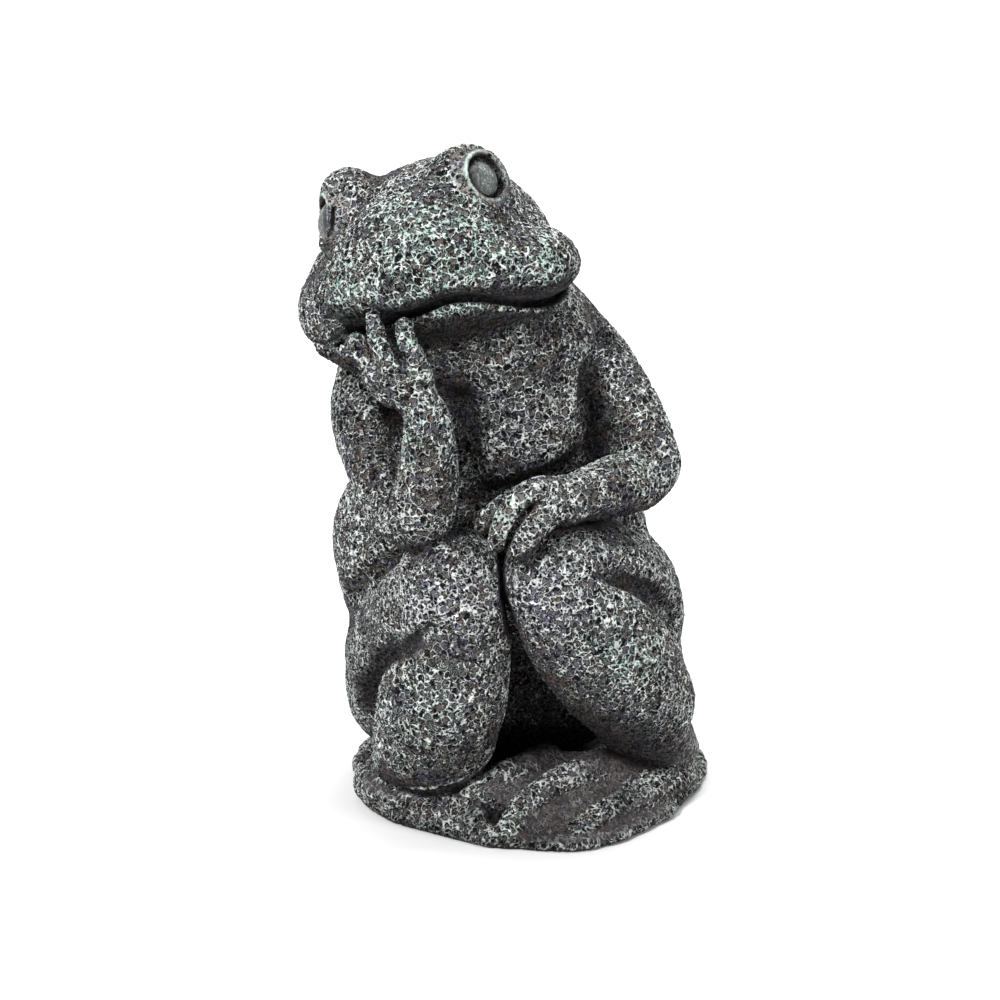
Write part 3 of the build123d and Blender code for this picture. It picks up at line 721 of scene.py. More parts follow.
def relief_of(points):
    """height of the surface over the smooth sculpt, in millimetres, at each point"""
    me = bpy.data.meshes.new("points")
    me.vertices.add(len(points))
    me.vertices.foreach_set("co", points.astype(np.float32).ravel())
    ob = bpy.data.objects.new("points", me)
    bpy.context.scene.collection.objects.link(ob)
    tree = bpy.data.node_groups.new("relief", "GeometryNodeTree")
    tree.interface.new_socket("Geometry", in_out="INPUT", socket_type="NodeSocketGeometry")
    tree.interface.new_socket("Geometry", in_out="OUTPUT", socket_type="NodeSocketGeometry")
    N = Net(tree)
    i, o = tree.nodes.new("NodeGroupInput"), tree.nodes.new("NodeGroupOutput")
    p = tree.nodes.new("GeometryNodeInputPosition").outputs[0]
    net, gap, lump, q = crackle(N, p)
    ridge = N.ramp(net, 0.22, 0.02)
    pit = N.ramp(net, 0.10, 0.32)
    h = N.m("MULTIPLY_ADD", ridge, 0.58, N.m("MULTIPLY", pit, -0.62))
    fine = N.m("MULTIPLY", N.m("SUBTRACT", N.noise(p, 0.45, 3.0, 0.6, off=(70, 7, 7)), 0.5), 0.7)
    h = N.m("ADD", h, fine)
    for name, v in (("relief", h), ("lump", N.m("SUBTRACT", lump, 0.5))):
        s = N.put("GeometryNodeStoreNamedAttribute", {"Name": name, "Value": v}, data_type="FLOAT", domain="POINT")
        tree.links.new(i.outputs[0], s.inputs[0])
        i = s
    tree.links.new(i.outputs[0], o.inputs[0])
    mod = ob.modifiers.new("relief", "NODES")
    mod.node_group = tree
    ev = ob.evaluated_get(bpy.context.evaluated_depsgraph_get())
    out = []
    for name in ("relief", "lump"):
        a = np.zeros(len(points), np.float32)
        ev.data.attributes[name].data.foreach_get("value", a)
        out.append(a)
    bpy.data.objects.remove(ob)
    bpy.data.meshes.remove(me)
    bpy.data.node_groups.remove(tree)
    return out


def ball(p, c, r, soft=0.6):
    d = np.linalg.norm(p - c, axis=1) / r
    return np.clip((1 - d) / soft, 0, 1) ** 1 * (1.0)


def make_mesh(name, p, quads, normals=None, attrs=()):
    """p in millimetres"""
    me = bpy.data.meshes.new(name)
    me.vertices.add(len(p))
    me.vertices.foreach_set("co", (p * 0.001).astype(np.float32).ravel())
    me.loops.add(quads.size)
    me.loops.foreach_set("vertex_index", quads.astype(np.int32).ravel())
    me.polygons.add(len(quads))
    me.polygons.foreach_set("loop_start", np.arange(0, quads.size, quads.shape[1], dtype=np.int32))
    me.update(calc_edges=True)
    me.polygons.foreach_set("use_smooth", np.ones(len(quads), bool))
    for key, val in attrs:
        kind = "FLOAT_VECTOR" if val.ndim == 2 else "FLOAT"
        a = me.attributes.new(key, kind, "POINT")
        a.data.foreach_set("vector" if val.ndim == 2 else "value", val.astype(np.float32).ravel())
    if normals is not None:
        me.normals_split_custom_set_from_vertices(normals.astype(np.float32))
    ob = bpy.data.objects.new(name, me)
    bpy.context.scene.collection.objects.link(ob)
    return ob


# ------------------------------------------------------------------ the sculpt
h = 0.85
g, D, lab, lab2, diff = sculpt(h)
settle(D, lab, lab2)
vox, surf, quads, own = nets(g, D, lab, diff)
outer = (own == 0).any(1)
e_out, e_in = edges_of(quads[outer]), edges_of(quads[~outer])
for step in (0.5, 0.4):
    relax(vox, e_out, surf, step)
    for _ in (0, 1):
        vox[surf] -= (sample(D, vox[surf]) / g.h)[:, None] * slope(D, vox[surf])
for _ in range(10):
    relax(vox, e_in, ~surf, 0.5)
pts = vox * g.h + g.lo
flip = own[:, 0] == 0
qo = np.where(flip[:, None], quads[:, ::-1], quads)
N0 = vertex_normals(pts, qo[outer])


def open_at(d):
    q = vox[surf] + (N0[surf] * (d / g.h)).astype(np.float32)
    return np.clip(sample(D, q) / d, 0, 1)


def crowding(sigma, lift):
    """share of the space round each point that is solid, in a soft ball of radius about 2 sigma"""
    step = max(1, int(round(2.0 / g.h)))
    occ = (D[::step, ::step, ::step] < 0).astype(np.float32)
    s = g.h * step
    pad = int(3 * sigma / s) + 1
    occ = np.pad(occ, pad)
    x = np.arange(-pad, pad + 1) * s
    k = np.exp(-0.5 * (x / sigma) ** 2)
    k = (k / k.sum()).astype(np.float32)
    for ax in range(3):
        o = np.moveaxis(occ, ax, 0)
        t = np.zeros_like(o)
        for i, w in enumerate(k):
            d = i - pad
            if d >= 0:
                t[d:] += w * o[:len(o) - d]
            else:
                t[:d] += w * o[-d:]
        occ = np.moveaxis(t, 0, ax)
    q = (vox[surf] + (N0[surf] * (lift / g.h)).astype(np.float32)) / step + pad
    return sample(np.ascontiguousarray(occ), q)


o1, o4, o9 = open_at(1.6), open_at(4.0), open_at(9.0)
deep, dent = crowding(9.0, 3.0), crowding(3.4, 0.6)
sp = pts[surf]
flat_foot = np.clip((sp[:, 2] - 0.6) / 1.2, 0, 1)
calm = 1 - np.clip((o4 - 0.15) / 0.35, 0, 1) * flat_foot
rim, lash = np.zeros(len(sp)), np.zeros(len(sp))
for side in ("left_eye", "right_eye"):
    o, n, up, fore = eye_frame(side)
    r = sp - o
    w = r @ n
    rad = np.sqrt(np.maximum((r * r).sum(1) - w * w, 0))
    c = (r @ (up * 0.62 + fore * 0.78)) / np.maximum(rad, 1e-3)
    edge = 12.3 + 1.8 * np.clip(c, 0, 1)
    rim = np.maximum(rim, np.clip((edge - rad) / 0.8, 0, 1) * np.clip((8 - np.abs(w)) / 3, 0, 1))
    top = 0.3 + 0.9 * np.clip(c, 0, 1) + 0.6 * (0.9 + 0.35 * np.clip(c, 0, 1))
    lash = np.maximum(lash, np.clip((w - top + 0.5) / 0.5, 0, 1) * np.clip((0.22 + 0.55 * np.clip(c, 0, 1) ** 2 - np.abs(rad - RIM_R + 0.35)) / 0.3, 0, 1))
hx, hy, hz = head_xyz(sp[:, 0], sp[:, 1], sp[:, 2])
line = hz - lip(hx, hy)
lips = np.exp(-((line + np.interp(hx, [42, 53], [4.0, 2.2])) / 1.1) ** 2) * np.clip((N0[surf] @ HEAD_R[:, 2] + 0.35) / 0.5, 0, 1) * np.clip((26 - hy) / 8, 0, 1)
lips *= (np.abs(hx) < 60) & (sp[:, 2] > 170)


def off_line(p, line):
    """distance from a run of (point, radius) stations, as seen from above where p has two columns"""
    out = np.full(len(p), 1e9)
    for (a, _), (b, _) in zip(line[:-1], line[1:]):
        a, b = a[:p.shape[1]], b[:p.shape[1]]
        t = np.clip((p - a) @ (b - a) / ((b - a) @ (b - a)), 0, 1)
        out = np.minimum(out, np.linalg.norm(p - a - t[:, None] * (b - a), axis=1))
    return out


toes = np.minimum.reduce([off_line(sp[:, :2], TOES[k][i:]) - w for k, i, w in (("inner", 2, 3.2), ("outer", 1, 4.6), ("mid", 2, 3.0), ("edge", 1, 3.2))])
low = sp[:, 2] < 30
web = np.clip(toes / 1.6, 0, 1) * low * np.clip((N0[surf][:, 2] - 0.15) / 0.35, 0, 1) * np.clip((-20 - sp[:, 1]) / 10, 0, 1) * np.clip((72 - np.abs(sp[:, 0] + 4)) / 8, 0, 1)
lips = np.maximum(lips, 0.9 * np.clip(0.6 - toes / 1.6, 0, 1) * low * np.clip((N0[surf][:, 2] - 0.2) / 0.5, 0, 1) * np.clip((-20 - sp[:, 1]) / 8, 0, 1))
seam = off_line(sp, [(P(x, y, d), 0) for x, y, d in ((386, 792, -46.8), (400, 790, -50.2), (416, 788, -54.2), (430, 787, -56.9), (446, 783, -58), (462, 778, -56.5))])
# painted shade: faces not turned up in the lowest 14 mm, and soft balls of shade between the legs, under the jaw, in
# the arm and chest creases and round the feet
side = np.clip((0.45 - N0[surf][:, 2]) / 0.3, 0, 1) * np.clip((14 - sp[:, 2]) / 4, 0, 1)
painted_shade = np.maximum.reduce([side * np.interp(sp[:, 0], [-50, -30, 15, 30], [0.35, 0.65, 0.65, 0.45])] + [k * ball(sp, P(x, y, d), s, 0.7) for x, y, d, s, k in (
    (528, 690, -20, 34, 1.0), (545, 735, -30, 20, 0.9), (392, 410, -15, 14, 0.7), (668, 738, -15, 24, 0.5), (478, 818, -60, 13, 0.6), (538, 842, -70, 13, 0.6), (430, 797, -52, 9, 0.5), (455, 800, -54, 9, 0.5), (372, 650, 0, 30, 0.5), (600, 430, -19, 16, 0.4),
    (515, 486, -30, 18, 0.45), (560, 470, -28, 14, 0.4), (360, 430, -5, 26, 0.5), (480, 338, -35, 20, 0.35), (540, 330, -25, 20, 0.25), (600, 745, -30, 14, 0.5))])
smooth_shin = ball(sp, P(668, 738, -15), 26)
calm = np.clip(np.maximum.reduce([calm, rim, 0.75 * smooth_shin, 0.75 * web]), 0, 1)
relief, lump = relief_of(sp)
height = relief * (1 - 0.85 * calm) + lump * 1.5 * (1 - rim) * flat_foot
pts[surf] += N0[surf] * height[:, None]
N1 = vertex_normals(pts, qo[outer])
N1[~surf] = vertex_normals(pts, qo)[~surf]


def spot(px, py, y, r):
    return ball(sp, P(px, py, y), r, 0.9)


facing = N0[surf]
mint = np.maximum.reduce([
    spot(450, 250, -50, 46), 0.8 * spot(545, 275, -45, 30), 0.8 * spot(345, 300, -50, 26), 0.9 * spot(405, 345, -58, 18),
    0.7 * spot(425, 440, -60, 24), 0.5 * spot(610, 470, -35, 26), 0.5 * spot(500, 500, -66, 22), 0.6 * spot(620, 650, -62, 34),
    0.6 * spot(500, 800, -70, 20), 0.45 * spot(420, 700, -66, 30), 0.35 * spot(640, 380, 0, 30)])
lilac = np.maximum.reduce([
    spot(452, 600, -66, 30), 0.9 * spot(545, 600, -70, 24), 0.35 * spot(500, 380, -38, 34), 0.5 * spot(600, 500, -50, 22), 0.5 * spot(350, 450, -20, 24)])
full = {}
for key, v in (("up", N0[surf][:, 2]), ("lips", lips), ("painted_shade", painted_shade), ("seam", np.clip((1.1 - seam) / 0.5, 0, 1)), ("deep", deep), ("dent", dent), ("open_near", o1), ("open_mid", o4), ("open_far", o9), ("calm", calm), ("mint", mint), ("lilac", lilac), ("rim", rim), ("lash", lash), ("web", web)):
    a = np.zeros(len(pts), np.float32)
    a[surf] = v
    full[key] = a
rest = np.zeros((len(pts), 3), np.float32)
rest[:] = pts
rest[surf] = sp

stone_pieces = []
for n, name in enumerate(NAMES, 1):
    a, b = own[:, 0] == n, own[:, 1] == n
    f = np.concatenate([quads[a], quads[b][:, ::-1]])
    used = np.unique(f)
    back = np.full(len(pts), -1, np.int32)
    back[used] = np.arange(len(used))
    ob = make_mesh(name + "_sculpt", pts[used], back[f], N1[used],
                   [("rest", rest[used])] + [(k, v[used]) for k, v in full.items()])
    stone_pieces.append((ob, name))
print("SCULPT vertices", len(pts), "quads", len(quads))


# ------------------------------------------------------------------ eyes
def eye(name, rings=72, segs=144):
    """a seated ball, flattened in front, a little off the middle of its socket"""
    o, n, up, fore = eye_frame(name)
    side = fore
    R_ = BALL_R
    c = o - n * BALL_IN
    p = [c + n * R_]
    for i in range(1, rings):
        th = math.pi * i / rings
        for j in range(segs):
            ph = 2 * math.pi * j / segs
            p.append(c + side * R_ * math.sin(th) * math.cos(ph) + up * R_ * math.sin(th) * math.sin(ph) + n * R_ * math.cos(th))
    p.append(c - n * R_)
    p = np.array(p)
    r = p - c
    u, v, w = r @ side, r @ up, r @ n
    front = np.clip(w / 2.0, 0, 1)
    # the front is drawn in, its limit cut back from the socket wall on the far side
    p -= n * (0.26 * np.maximum(w, 0))[:, None]
    away = u * 0.78 + v * 0.62
    pull = 0.07 * front * np.clip(0.35 - away / R_, 0, 1)
    p -= (side * (u * pull)[:, None] + up * (v * pull)[:, None])
    # shallow drop-shaped iris with a soft edge
    vv = v - 0.3
    wide = 4.7 * np.sqrt(np.clip(1 - (vv / 7.4) ** 2, 0, 1)) * (1 - 0.30 * vv / 7.4)
    d = np.abs(u + 0.3) - wide
    edge = np.exp(-(d / 0.5) ** 2) * (np.abs(vv) < 7.4)
    inside = np.clip(-d / 2.2, 0, 1)
    rag = 0.10 * np.sin(u * 5.1 + 0.7 * np.sin(v * 0.8)) + 0.06 * np.sin(u * 9.7 + v * 1.3)
    p += n * (front * (0.16 * edge - 0.22 * np.clip(-d / 0.8, 0, 1) + inside * rag))[:, None]
    last = len(p) - 1
    quads = []
    tris = []
    for j in range(segs):
        k = (j + 1) % segs
        tris.append((0, 1 + j, 1 + k))
        tris.append((last, last - segs + k, last - segs + j))
        for i in range(rings - 2):
            a = 1 + i * segs
            quads.append((a + j, a + segs + j, a + segs + k, a + k))
    if np.cross(side, up) @ n < 0:
        tris, quads = [t[::-1] for t in tris], [t[::-1] for t in quads]
    me = bpy.data.meshes.new(name + "_ball")
    me.from_pydata((p * 0.001).tolist(), [], tris + quads)
    me.polygons.foreach_set("use_smooth", np.ones(len(me.polygons), bool))
    # depth: how far out of its socket each point of the ball stands, used for the painted shade on its sunken part
    for key, val in (("rest", np.stack([u, v, w], 1)), ("iris", inside * front), ("edge", edge * front),
                     ("depth", np.clip((w - 1.5) / 3.5, 0, 1))):
        kind = "FLOAT_VECTOR" if val.ndim == 2 else "FLOAT"
        a = me.attributes.new(key, kind, "POINT")
        a.data.foreach_set("vector" if val.ndim == 2 else "value", val.astype(np.float32).ravel())
    ob = bpy.data.objects.new(name + "_ball", me)
    bpy.context.scene.collection.objects.link(ob)
    return ob


eyes = [(eye(side), side) for side in ("right_eye", "left_eye")]


# ------------------------------------------------------------------ materials
def material(name):
    mat = bpy.data.materials.new(name)
    mat.use_nodes = True
    t = mat.node_tree
    b = t.nodes["Principled BSDF"]
    return mat, Net(t), b


def attr(N, name, vector=False):
    n = N.put("ShaderNodeAttribute", attribute_name=name)
    return n.outputs["Vector" if vector else "Fac"]


def stone():
    mat, N, b = material("painted_stone")
    up_, lips_, painted_shade_at, seam_ = [attr(N, k) for k in ("up", "lips", "painted_shade", "seam")]
    p = attr(N, "rest", True)
    near_, mid, far, calm_, mint_, lilac_, rim_, web_, deep_, dent_ = [attr(N, k) for k in
        ("open_near", "open_mid", "open_far", "calm", "mint", "lilac", "rim", "web", "deep", "dent")]
    net, gap, lump_, q = crackle(N, p)
    # where the dry brush touched: open and standing places, in drifting patches
    patch = N.noise(p, 0.055, 4.0, 0.6, off=(8, 3, 55))
    fleck = N.noise(p, 0.50, 3.0, 0.65, off=(1, 44, 6))
    open_ = N.m("MULTIPLY", N.ramp(deep_, 0.42, 0.72, 1.0, 0.0), N.ramp(dent_, 0.50, 0.66, 1.0, 0.12))
    brush = N.m("MULTIPLY", open_, N.ramp(patch, 0.38, 0.58, 0.22, 1.04))
    wet = N.m("MAXIMUM", mint_, lilac_)
    brush = N.m("MULTIPLY", brush, N.ramp(wet, 0.0, 0.8, 0.80, 1.12))
    brush = N.m("MULTIPLY", brush, N.ramp(up_, -0.75, 0.05, 0.10, 1.0))
    width = N.m("MULTIPLY_ADD", brush, 0.052, N.m("MULTIPLY_ADD", fleck, 0.085, -0.030))
    sharp = N.m("MAXIMUM", lips_, N.ramp(dent_, 0.45, 0.33, 0.0, 0.5))
    width = N.m("MULTIPLY_ADD", sharp, N.m("MULTIPLY", N.ramp(fleck, 0.35, 0.60), 0.08), width)
    width = N.m("MINIMUM", width, 0.088)
    edge = N.m("SUBTRACT", net, width)
    ridge = N.m("SUBTRACT", 1.0, N.ramp(edge, -0.010, 0.012))
    halo = N.m("MULTIPLY", N.m("SUBTRACT", 1.0, N.ramp(edge, 0.010, 0.060)), N.ramp(N.noise(p, 0.30, 3.0, 0.6, off=(44, 4, 18)), 0.44, 0.60, 0.0, 0.8))
    ridge = N.m("MULTIPLY", ridge, N.ramp(brush, 0.04, 0.35))
    ridge = N.m("MULTIPLY", ridge, N.ramp(calm_, 0.3, 1.0, 1.0, 0.25))
    ridge = N.m("MULTIPLY", ridge, N.ramp(web_, 0.1, 1.0, 1.0, 0.30))
    # fewer pale ridges under the painted shade
    ridge = N.m("MULTIPLY", ridge, N.ramp(painted_shade_at, 0.3, 1.0, 1.0, 0.35))
    # ground coat
    hue = N.noise(p, 0.11, 3.0, 0.55, off=(60, 2, 4))
    hue2 = N.noise(p, 0.17, 3.0, 0.55, off=(6, 20, 14))
    grain = N.noise(p, 1.9, 4.0, 0.70, off=(2, 2, 2))
    streak = N.noise(N.vm("MULTIPLY", q, (1.0, 1.0, 0.35)), 0.9, 3.0, 0.6, off=(12, 2, 62))
    base = N.col(N.ramp(hue, 0.42, 0.56), (0.150, 0.108, 0.090), (0.104, 0.110, 0.108))
    base = N.col(N.ramp(hue2, 0.50, 0.58), base, (0.098, 0.088, 0.130))
    base = N.col(N.ramp(streak, 0.42, 0.66, 0.0, 0.55), base, (0.24, 0.24, 0.235))
    base = N.col(N.ramp(grain, 0.30, 0.52, 0.65, 0.0), base, (0.035, 0.033, 0.035))
    # thin paint that fills some of the cells
    smear = N.m("MULTIPLY", N.ramp(N.noise(p, 0.34, 4.0, 0.70, off=(33, 3, 3)), 0.48, 0.66), brush)
    base = N.col(N.m("MULTIPLY", smear, 0.42), base, (0.25, 0.262, 0.258))
    base = N.col(N.m("MULTIPLY", N.m("MULTIPLY", smear, mint_), 0.50), base, (0.22, 0.33, 0.29))
    base = N.col(N.m("MULTIPLY", N.m("MULTIPLY", N.ramp(lilac_, 0.1, 0.8), N.ramp(hue2, 0.42, 0.62)), 0.45), base, (0.22, 0.21, 0.30))
    # dark wash and painted shadow: near black in the pits right beside the ridges and in some whole pits, partly the
    # wash the pits hold, partly the shade they cast
    pit_shadow_and_wash = N.m("MULTIPLY", N.ramp(edge, 0.004, 0.024), N.ramp(edge, 0.07, 0.18, 1.0, 0.0))
    pit_shadow_and_wash = N.m("MULTIPLY", pit_shadow_and_wash, N.ramp(width, -0.04, 0.03, 0.35, 1.0))
    pit_shadow_and_wash = N.m("MULTIPLY", pit_shadow_and_wash, N.ramp(N.noise(p, 0.66, 3.0, 0.6, off=(90, 1, 1)), 0.38, 0.50, 0.15, 1.0))
    pit = N.m("MULTIPLY", N.ramp(net, 0.11, 0.18), N.ramp(N.noise(p, 0.40, 2.0, 0.5, off=(9, 61, 1)), 0.52, 0.56))
    pit_shadow_and_wash = N.m("MAXIMUM", pit_shadow_and_wash, pit)
    base = N.col(N.m("MULTIPLY", pit_shadow_and_wash, 0.99), base, (0.002, 0.002, 0.003))
    base = N.col(N.m("MULTIPLY", web_, 0.8), base, N.col(N.ramp(streak, 0.38, 0.62), (0.030, 0.027, 0.034), (0.105, 0.090, 0.086)))
    pale = N.col(N.ramp(mint_, 0.08, 0.75), (0.62, 0.67, 0.65), (0.52, 0.72, 0.64))
    pale = N.col(N.ramp(lilac_, 0.15, 0.9, 0.0, 0.8), pale, (0.66, 0.67, 0.72))
    pale = N.col(N.ramp(N.noise(p, 0.36, 3.0, 0.6, off=(5, 5, 80)), 0.44, 0.58, 0.0, 0.95), pale, (0.94, 0.97, 0.94))
    pale = N.col(N.ramp(fleck, 0.34, 0.56, 0.75, 0.0), pale, (0.20, 0.23, 0.22))
    base = N.col(N.m("MULTIPLY", halo, brush), base, N.col(0.62, pale, (0.02, 0.022, 0.022)))
    colour = N.col(ridge, base, pale)
    specks = N.m("MULTIPLY", N.ramp(N.noise(p, 1.35, 3.0, 0.7, off=(40, 3, 8)), 0.64, 0.71), N.ramp(far, 0.1, 0.5))
    colour = N.col(N.m("MULTIPLY", specks, 0.6), colour, (0.50, 0.53, 0.52))
    # painted shade: share of colour kept, falling off in crowded places, tight hollows and on faces turned downwards;
    # the rest goes near black below
    painted_shade_keep = N.m("MULTIPLY", N.ramp(deep_, 0.50, 0.80, 1.0, 0.10), N.ramp(near_, 0.1, 0.8, 0.45, 1.0))
    painted_shade_keep = N.m("MULTIPLY", painted_shade_keep, N.ramp(dent_, 0.54, 0.74, 1.0, 0.25))
    painted_shade_keep = N.m("MULTIPLY", painted_shade_keep, N.ramp(up_, -0.9, -0.1, 0.35, 1.0))
    colour = N.col(N.m("SUBTRACT", 1.0, painted_shade_keep), colour, (0.005, 0.005, 0.006))
    # painted shade: colour pulled most of the way to black where the shade mask lies
    colour = N.col(N.m("MULTIPLY", painted_shade_at, 0.85), colour, N.col(0.82, colour, (0.0, 0.0, 0.0)))
    colour = N.col(N.m("MULTIPLY", seam_, N.ramp(fleck, 0.42, 0.52)), colour, (0.62, 0.68, 0.66))
    line = attr(N, "lash")
    colour = N.col(N.m("MULTIPLY", line, N.ramp(fleck, 0.36, 0.56, 0.35, 0.95)), colour, (0.55, 0.68, 0.63))
    N.t.links.new(colour, b.inputs["Base Color"])
    rough = N.ramp(N.noise(p, 0.3, 3.0, 0.6, off=(7, 70, 7)), 0.3, 0.7, 0.42, 0.62)
    rough = N.mix(ridge, rough, 0.66)
    N.t.links.new(rough, b.inputs["Roughness"])
    b.inputs["Specular IOR Level"].default_value = 0.09
    raw = N.m("SUBTRACT", 1.0, N.m("MULTIPLY", calm_, 0.9))
    crest = N.m("MULTIPLY", N.ramp(net, 0.12, 0.0), raw)
    hollow = N.m("MULTIPLY", N.ramp(net, 0.05, 0.24), raw)
    hgt = N.m("MULTIPLY_ADD", crest, 0.50, N.m("MULTIPLY", hollow, -0.50))
    hgt = N.m("ADD", hgt, N.m("MULTIPLY", grain, 0.22))
    hgt = N.m("ADD", hgt, N.m("MULTIPLY", N.noise(p, 0.75, 3.0, 0.55, off=(3, 3, 30)), N.mix(calm_, 0.55, 0.2)))
    bump = N.put("ShaderNodeBump", {"Height": hgt, "Strength": 1.0, "Distance": 0.001})
    N.t.links.new(bump.outputs[0], b.inputs["Normal"])
    return mat


def eye_stone():
    mat, N, b = material("polished_eye")
    p = attr(N, "rest", True)
    iris, edge, depth = attr(N, "iris"), attr(N, "edge"), attr(N, "depth")
    stroke = N.noise(N.vm("MULTIPLY", p, (1.0, 0.30, 1.0)), 1.6, 4.0, 0.68)
    speck = N.noise(p, 1.1, 4.0, 0.72, off=(7, 7, 7))
    soft = N.noise(p, 0.33, 3.0, 0.5)
    col = N.col(N.ramp(stroke, 0.35, 0.7), (0.013, 0.012, 0.013), (0.055, 0.052, 0.052))
    inner = N.col(N.ramp(stroke, 0.38, 0.62), (0.040, 0.044, 0.043), (0.17, 0.20, 0.19))
    inner = N.col(N.ramp(speck, 0.50, 0.62), inner, (0.36, 0.43, 0.40))
    inner = N.col(N.ramp(soft, 0.45, 0.68, 0.0, 0.7), inner, (0.07, 0.075, 0.078))
    col = N.col(N.ramp(iris, 0.05, 0.8, 0.0, 0.9), col, inner)
    col = N.col(N.m("MULTIPLY", edge, N.ramp(soft, 0.40, 0.62, 0.0, 0.6)), col, (0.36, 0.42, 0.40))
    # painted shade: the ball goes near black where it sinks into its socket
    col = N.col(N.ramp(depth, 0.0, 0.55, 1.0, 0.0), col, (0.005, 0.005, 0.006))
    N.t.links.new(col, b.inputs["Base Color"])
    N.t.links.new(N.ramp(stroke, 0.3, 0.7, 0.26, 0.44), b.inputs["Roughness"])
    bump = N.put("ShaderNodeBump", {"Height": N.m("ADD", N.m("MULTIPLY", stroke, 0.16), N.m("MULTIPLY", speck, 0.10)), "Strength": 1.0, "Distance": 0.001})
    N.t.links.new(bump.outputs[0], b.inputs["Normal"])
    return mat


def cement():
    mat, N, b = material("raw_cement")
    p = N.vm("SCALE", N.put("ShaderNodeTexCoord").outputs["Object"], s=1000.0)
    a = N.noise(p, 0.12, 4.0, 0.6)
    grain = N.noise(p, 1.4, 5.0, 0.7, off=(4, 4, 4))
    sand = N.cells(p, 1.3, "F1")
    col = N.col(N.ramp(a, 0.35, 0.65), (0.25, 0.245, 0.235), (0.36, 0.35, 0.33))
    col = N.col(N.ramp(grain, 0.3, 0.8, 0.0, 0.6), col, (0.44, 0.43, 0.41))
    hole = N.ramp(N.cells(p, 0.28, "F1", off=(9, 9, 9)), 0.07, 0.14, 1.0, 0.0)
    col = N.col(hole, col, (0.08, 0.078, 0.075))
    N.t.links.new(col, b.inputs["Base Color"])
    N.t.links.new(N.ramp(grain, 0.3, 0.7, 0.82, 0.95), b.inputs["Roughness"])
    h_ = N.m("ADD", N.m("MULTIPLY", sand, 0.12), N.m("ADD", N.m("MULTIPLY", grain, 0.25), N.m("MULTIPLY", hole, -0.8)))
    bump = N.put("ShaderNodeBump", {"Height": h_, "Strength": 1.0, "Distance": 0.001})
    N.t.links.new(bump.outputs[0], b.inputs["Normal"])
    return mat


def pin_steel():
    mat, N, b = material("steel_pin")
    p = N.vm("SCALE", N.put("ShaderNodeTexCoord").outputs["Object"], s=1000.0)
    lines = N.noise(N.vm("MULTIPLY", p, (1.0, 1.0, 0.06)), 2.2, 3.0, 0.6)
    spot_ = N.noise(p, 0.3, 4.0, 0.65, off=(3, 8, 1))
    col = N.col(N.ramp(lines, 0.3, 0.7), (0.42, 0.42, 0.43), (0.60, 0.60, 0.60))
    col = N.col(N.ramp(spot_, 0.58, 0.74, 0.0, 0.8), col, (0.17, 0.10, 0.065))
    N.t.links.new(col, b.inputs["Base Color"])
    N.t.links.new(N.ramp(spot_, 0.56, 0.74, 1.0, 0.15), b.inputs["Metallic"])
    N.t.links.new(N.ramp(spot_, 0.50, 0.74, 0.34, 0.85), b.inputs["Roughness"])
    bump = N.put("ShaderNodeBump", {"Height": N.m("ADD", N.m("MULTIPLY", lines, 0.05), N.m("MULTIPLY", spot_, 0.1)), "Strength": 1.0, "Distance": 0.001})
    N.t.links.new(bump.outputs[0], b.inputs["Normal"])
    return mat


mats = {"painted_stone": stone(), "polished_eye": eye_stone(), "raw_cement": cement(), "steel_pin": pin_steel()}
for ob, node in stone_pieces:
    ob.data.materials.append(mats["painted_stone"])
    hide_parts(node)
    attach(ob, "root")
for ob, node in eyes:
    ob.data.materials.append(mats["polished_eye"])
    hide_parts(node)
    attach(ob, "root")
for node, key in (("bottom_plate", "raw_cement"), ("neck_dowel", "steel_pin"), ("arm_dowels", "steel_pin"), ("leg_dowels", "steel_pin")):
    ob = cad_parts[node]
    ob.data.materials.clear()
    ob.data.materials.append(mats[key])

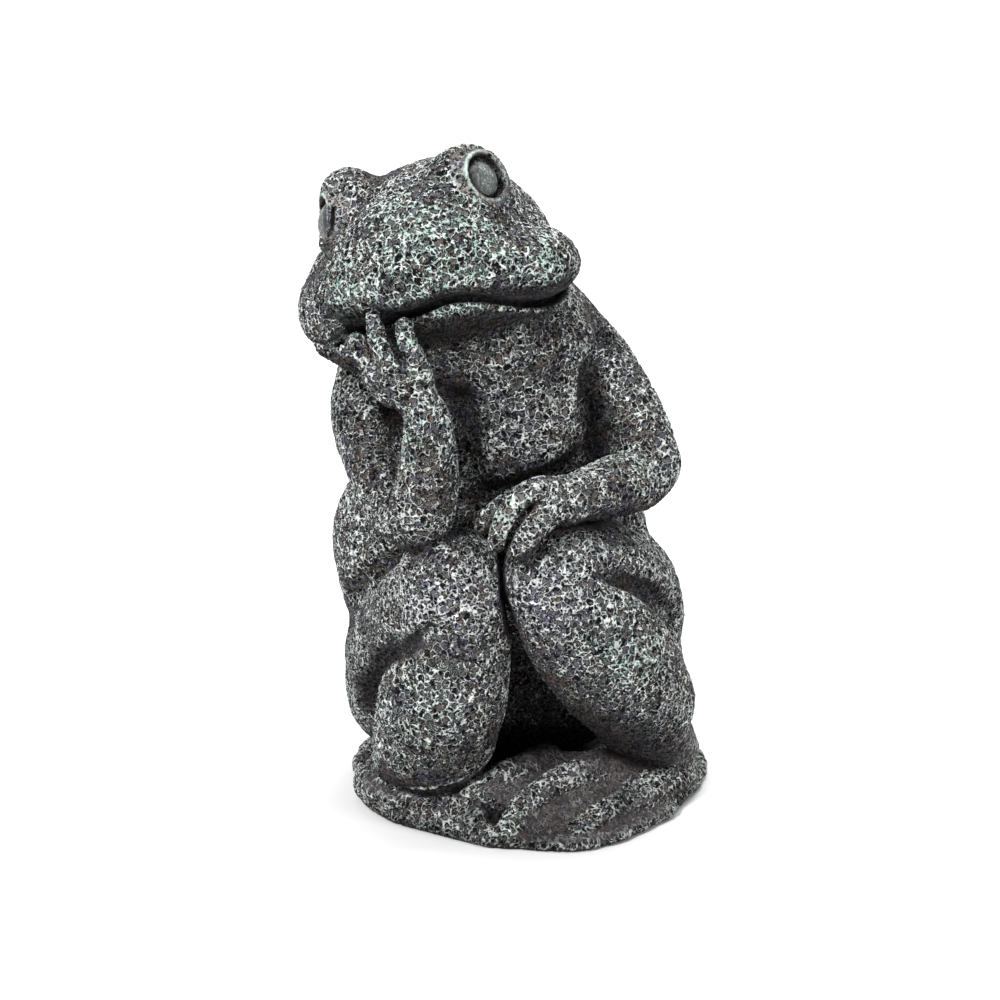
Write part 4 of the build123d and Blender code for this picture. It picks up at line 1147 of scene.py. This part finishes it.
# ------------------------------------------------------------------ camera, floor and light
cam = bpy.data.cameras.new("camera")
cam.lens, cam.sensor_width = 36.0 * F_PX / 1000.0, 36.0
cam.clip_start, cam.clip_end = 0.05, 30.0
co = bpy.data.objects.new("camera", cam)
bpy.context.scene.collection.objects.link(co)
m = Matrix([[RT[i], UP[i], -FW[i], CAM[i] * 0.001] for i in range(3)] + [[0, 0, 0, 1]])
co.matrix_world = m
bpy.context.scene.camera = co

me = bpy.data.meshes.new("floor")
me.from_pydata([(-8, -8, 0), (8, -8, 0), (8, 8, 0), (-8, 8, 0)], [], [(0, 1, 2, 3)])
floor = bpy.data.objects.new("floor", me)
bpy.context.scene.collection.objects.link(floor)
fmat, N, b = material("floor")
b.inputs["Base Color"].default_value = (0.90, 0.90, 0.90, 1)
b.inputs["Roughness"].default_value = 0.9
b.inputs["Specular IOR Level"].default_value = 0.1
me.materials.append(fmat)

world = bpy.data.worlds.new("world")
bpy.context.scene.world = world
world.use_nodes = True
bg = world.node_tree.nodes["Background"]
bg.inputs[0].default_value = (1.0, 1.0, 1.0, 1)
bg.inputs[1].default_value = 0.27


def lamp(name, at, to, size, power, colour=(1, 1, 1)):
    L_ = bpy.data.lights.new(name, "AREA")
    L_.shape, L_.size, L_.energy, L_.color = "DISK", size, power, colour
    ob = bpy.data.objects.new(name, L_)
    bpy.context.scene.collection.objects.link(ob)
    ob.location = at
    d = Vector(to) - Vector(at)
    ob.rotation_mode = "QUATERNION"
    ob.rotation_quaternion = d.to_track_quat("-Z", "Y")
    return ob


lamp("key", (-0.80, -1.10, 1.30), (0, 0, 0.13), 0.42, 30)
lamp("fill", (1.25, -0.95, 0.75), (0, 0, 0.12), 0.7, 8)
lamp("top", (0.15, 0.10, 1.5), (0, 0, 0.15), 0.6, 10)
lamp("far_floor", (0.0, 2.3, 1.5), (0, 2.3, 0), 1.6, 26)
lamp("mid_floor", (0.0, 1.2, 1.7), (0, 1.2, 0), 1.2, 10)
lamp("back", (0.9, 1.3, 0.8), (0, 0, 0.12), 0.8, 7)
lamp("back_left", (-1.2, 1.0, 0.7), (0, 0, 0.12), 0.8, 6)
bpy.context.scene.view_settings.view_transform = "Standard"
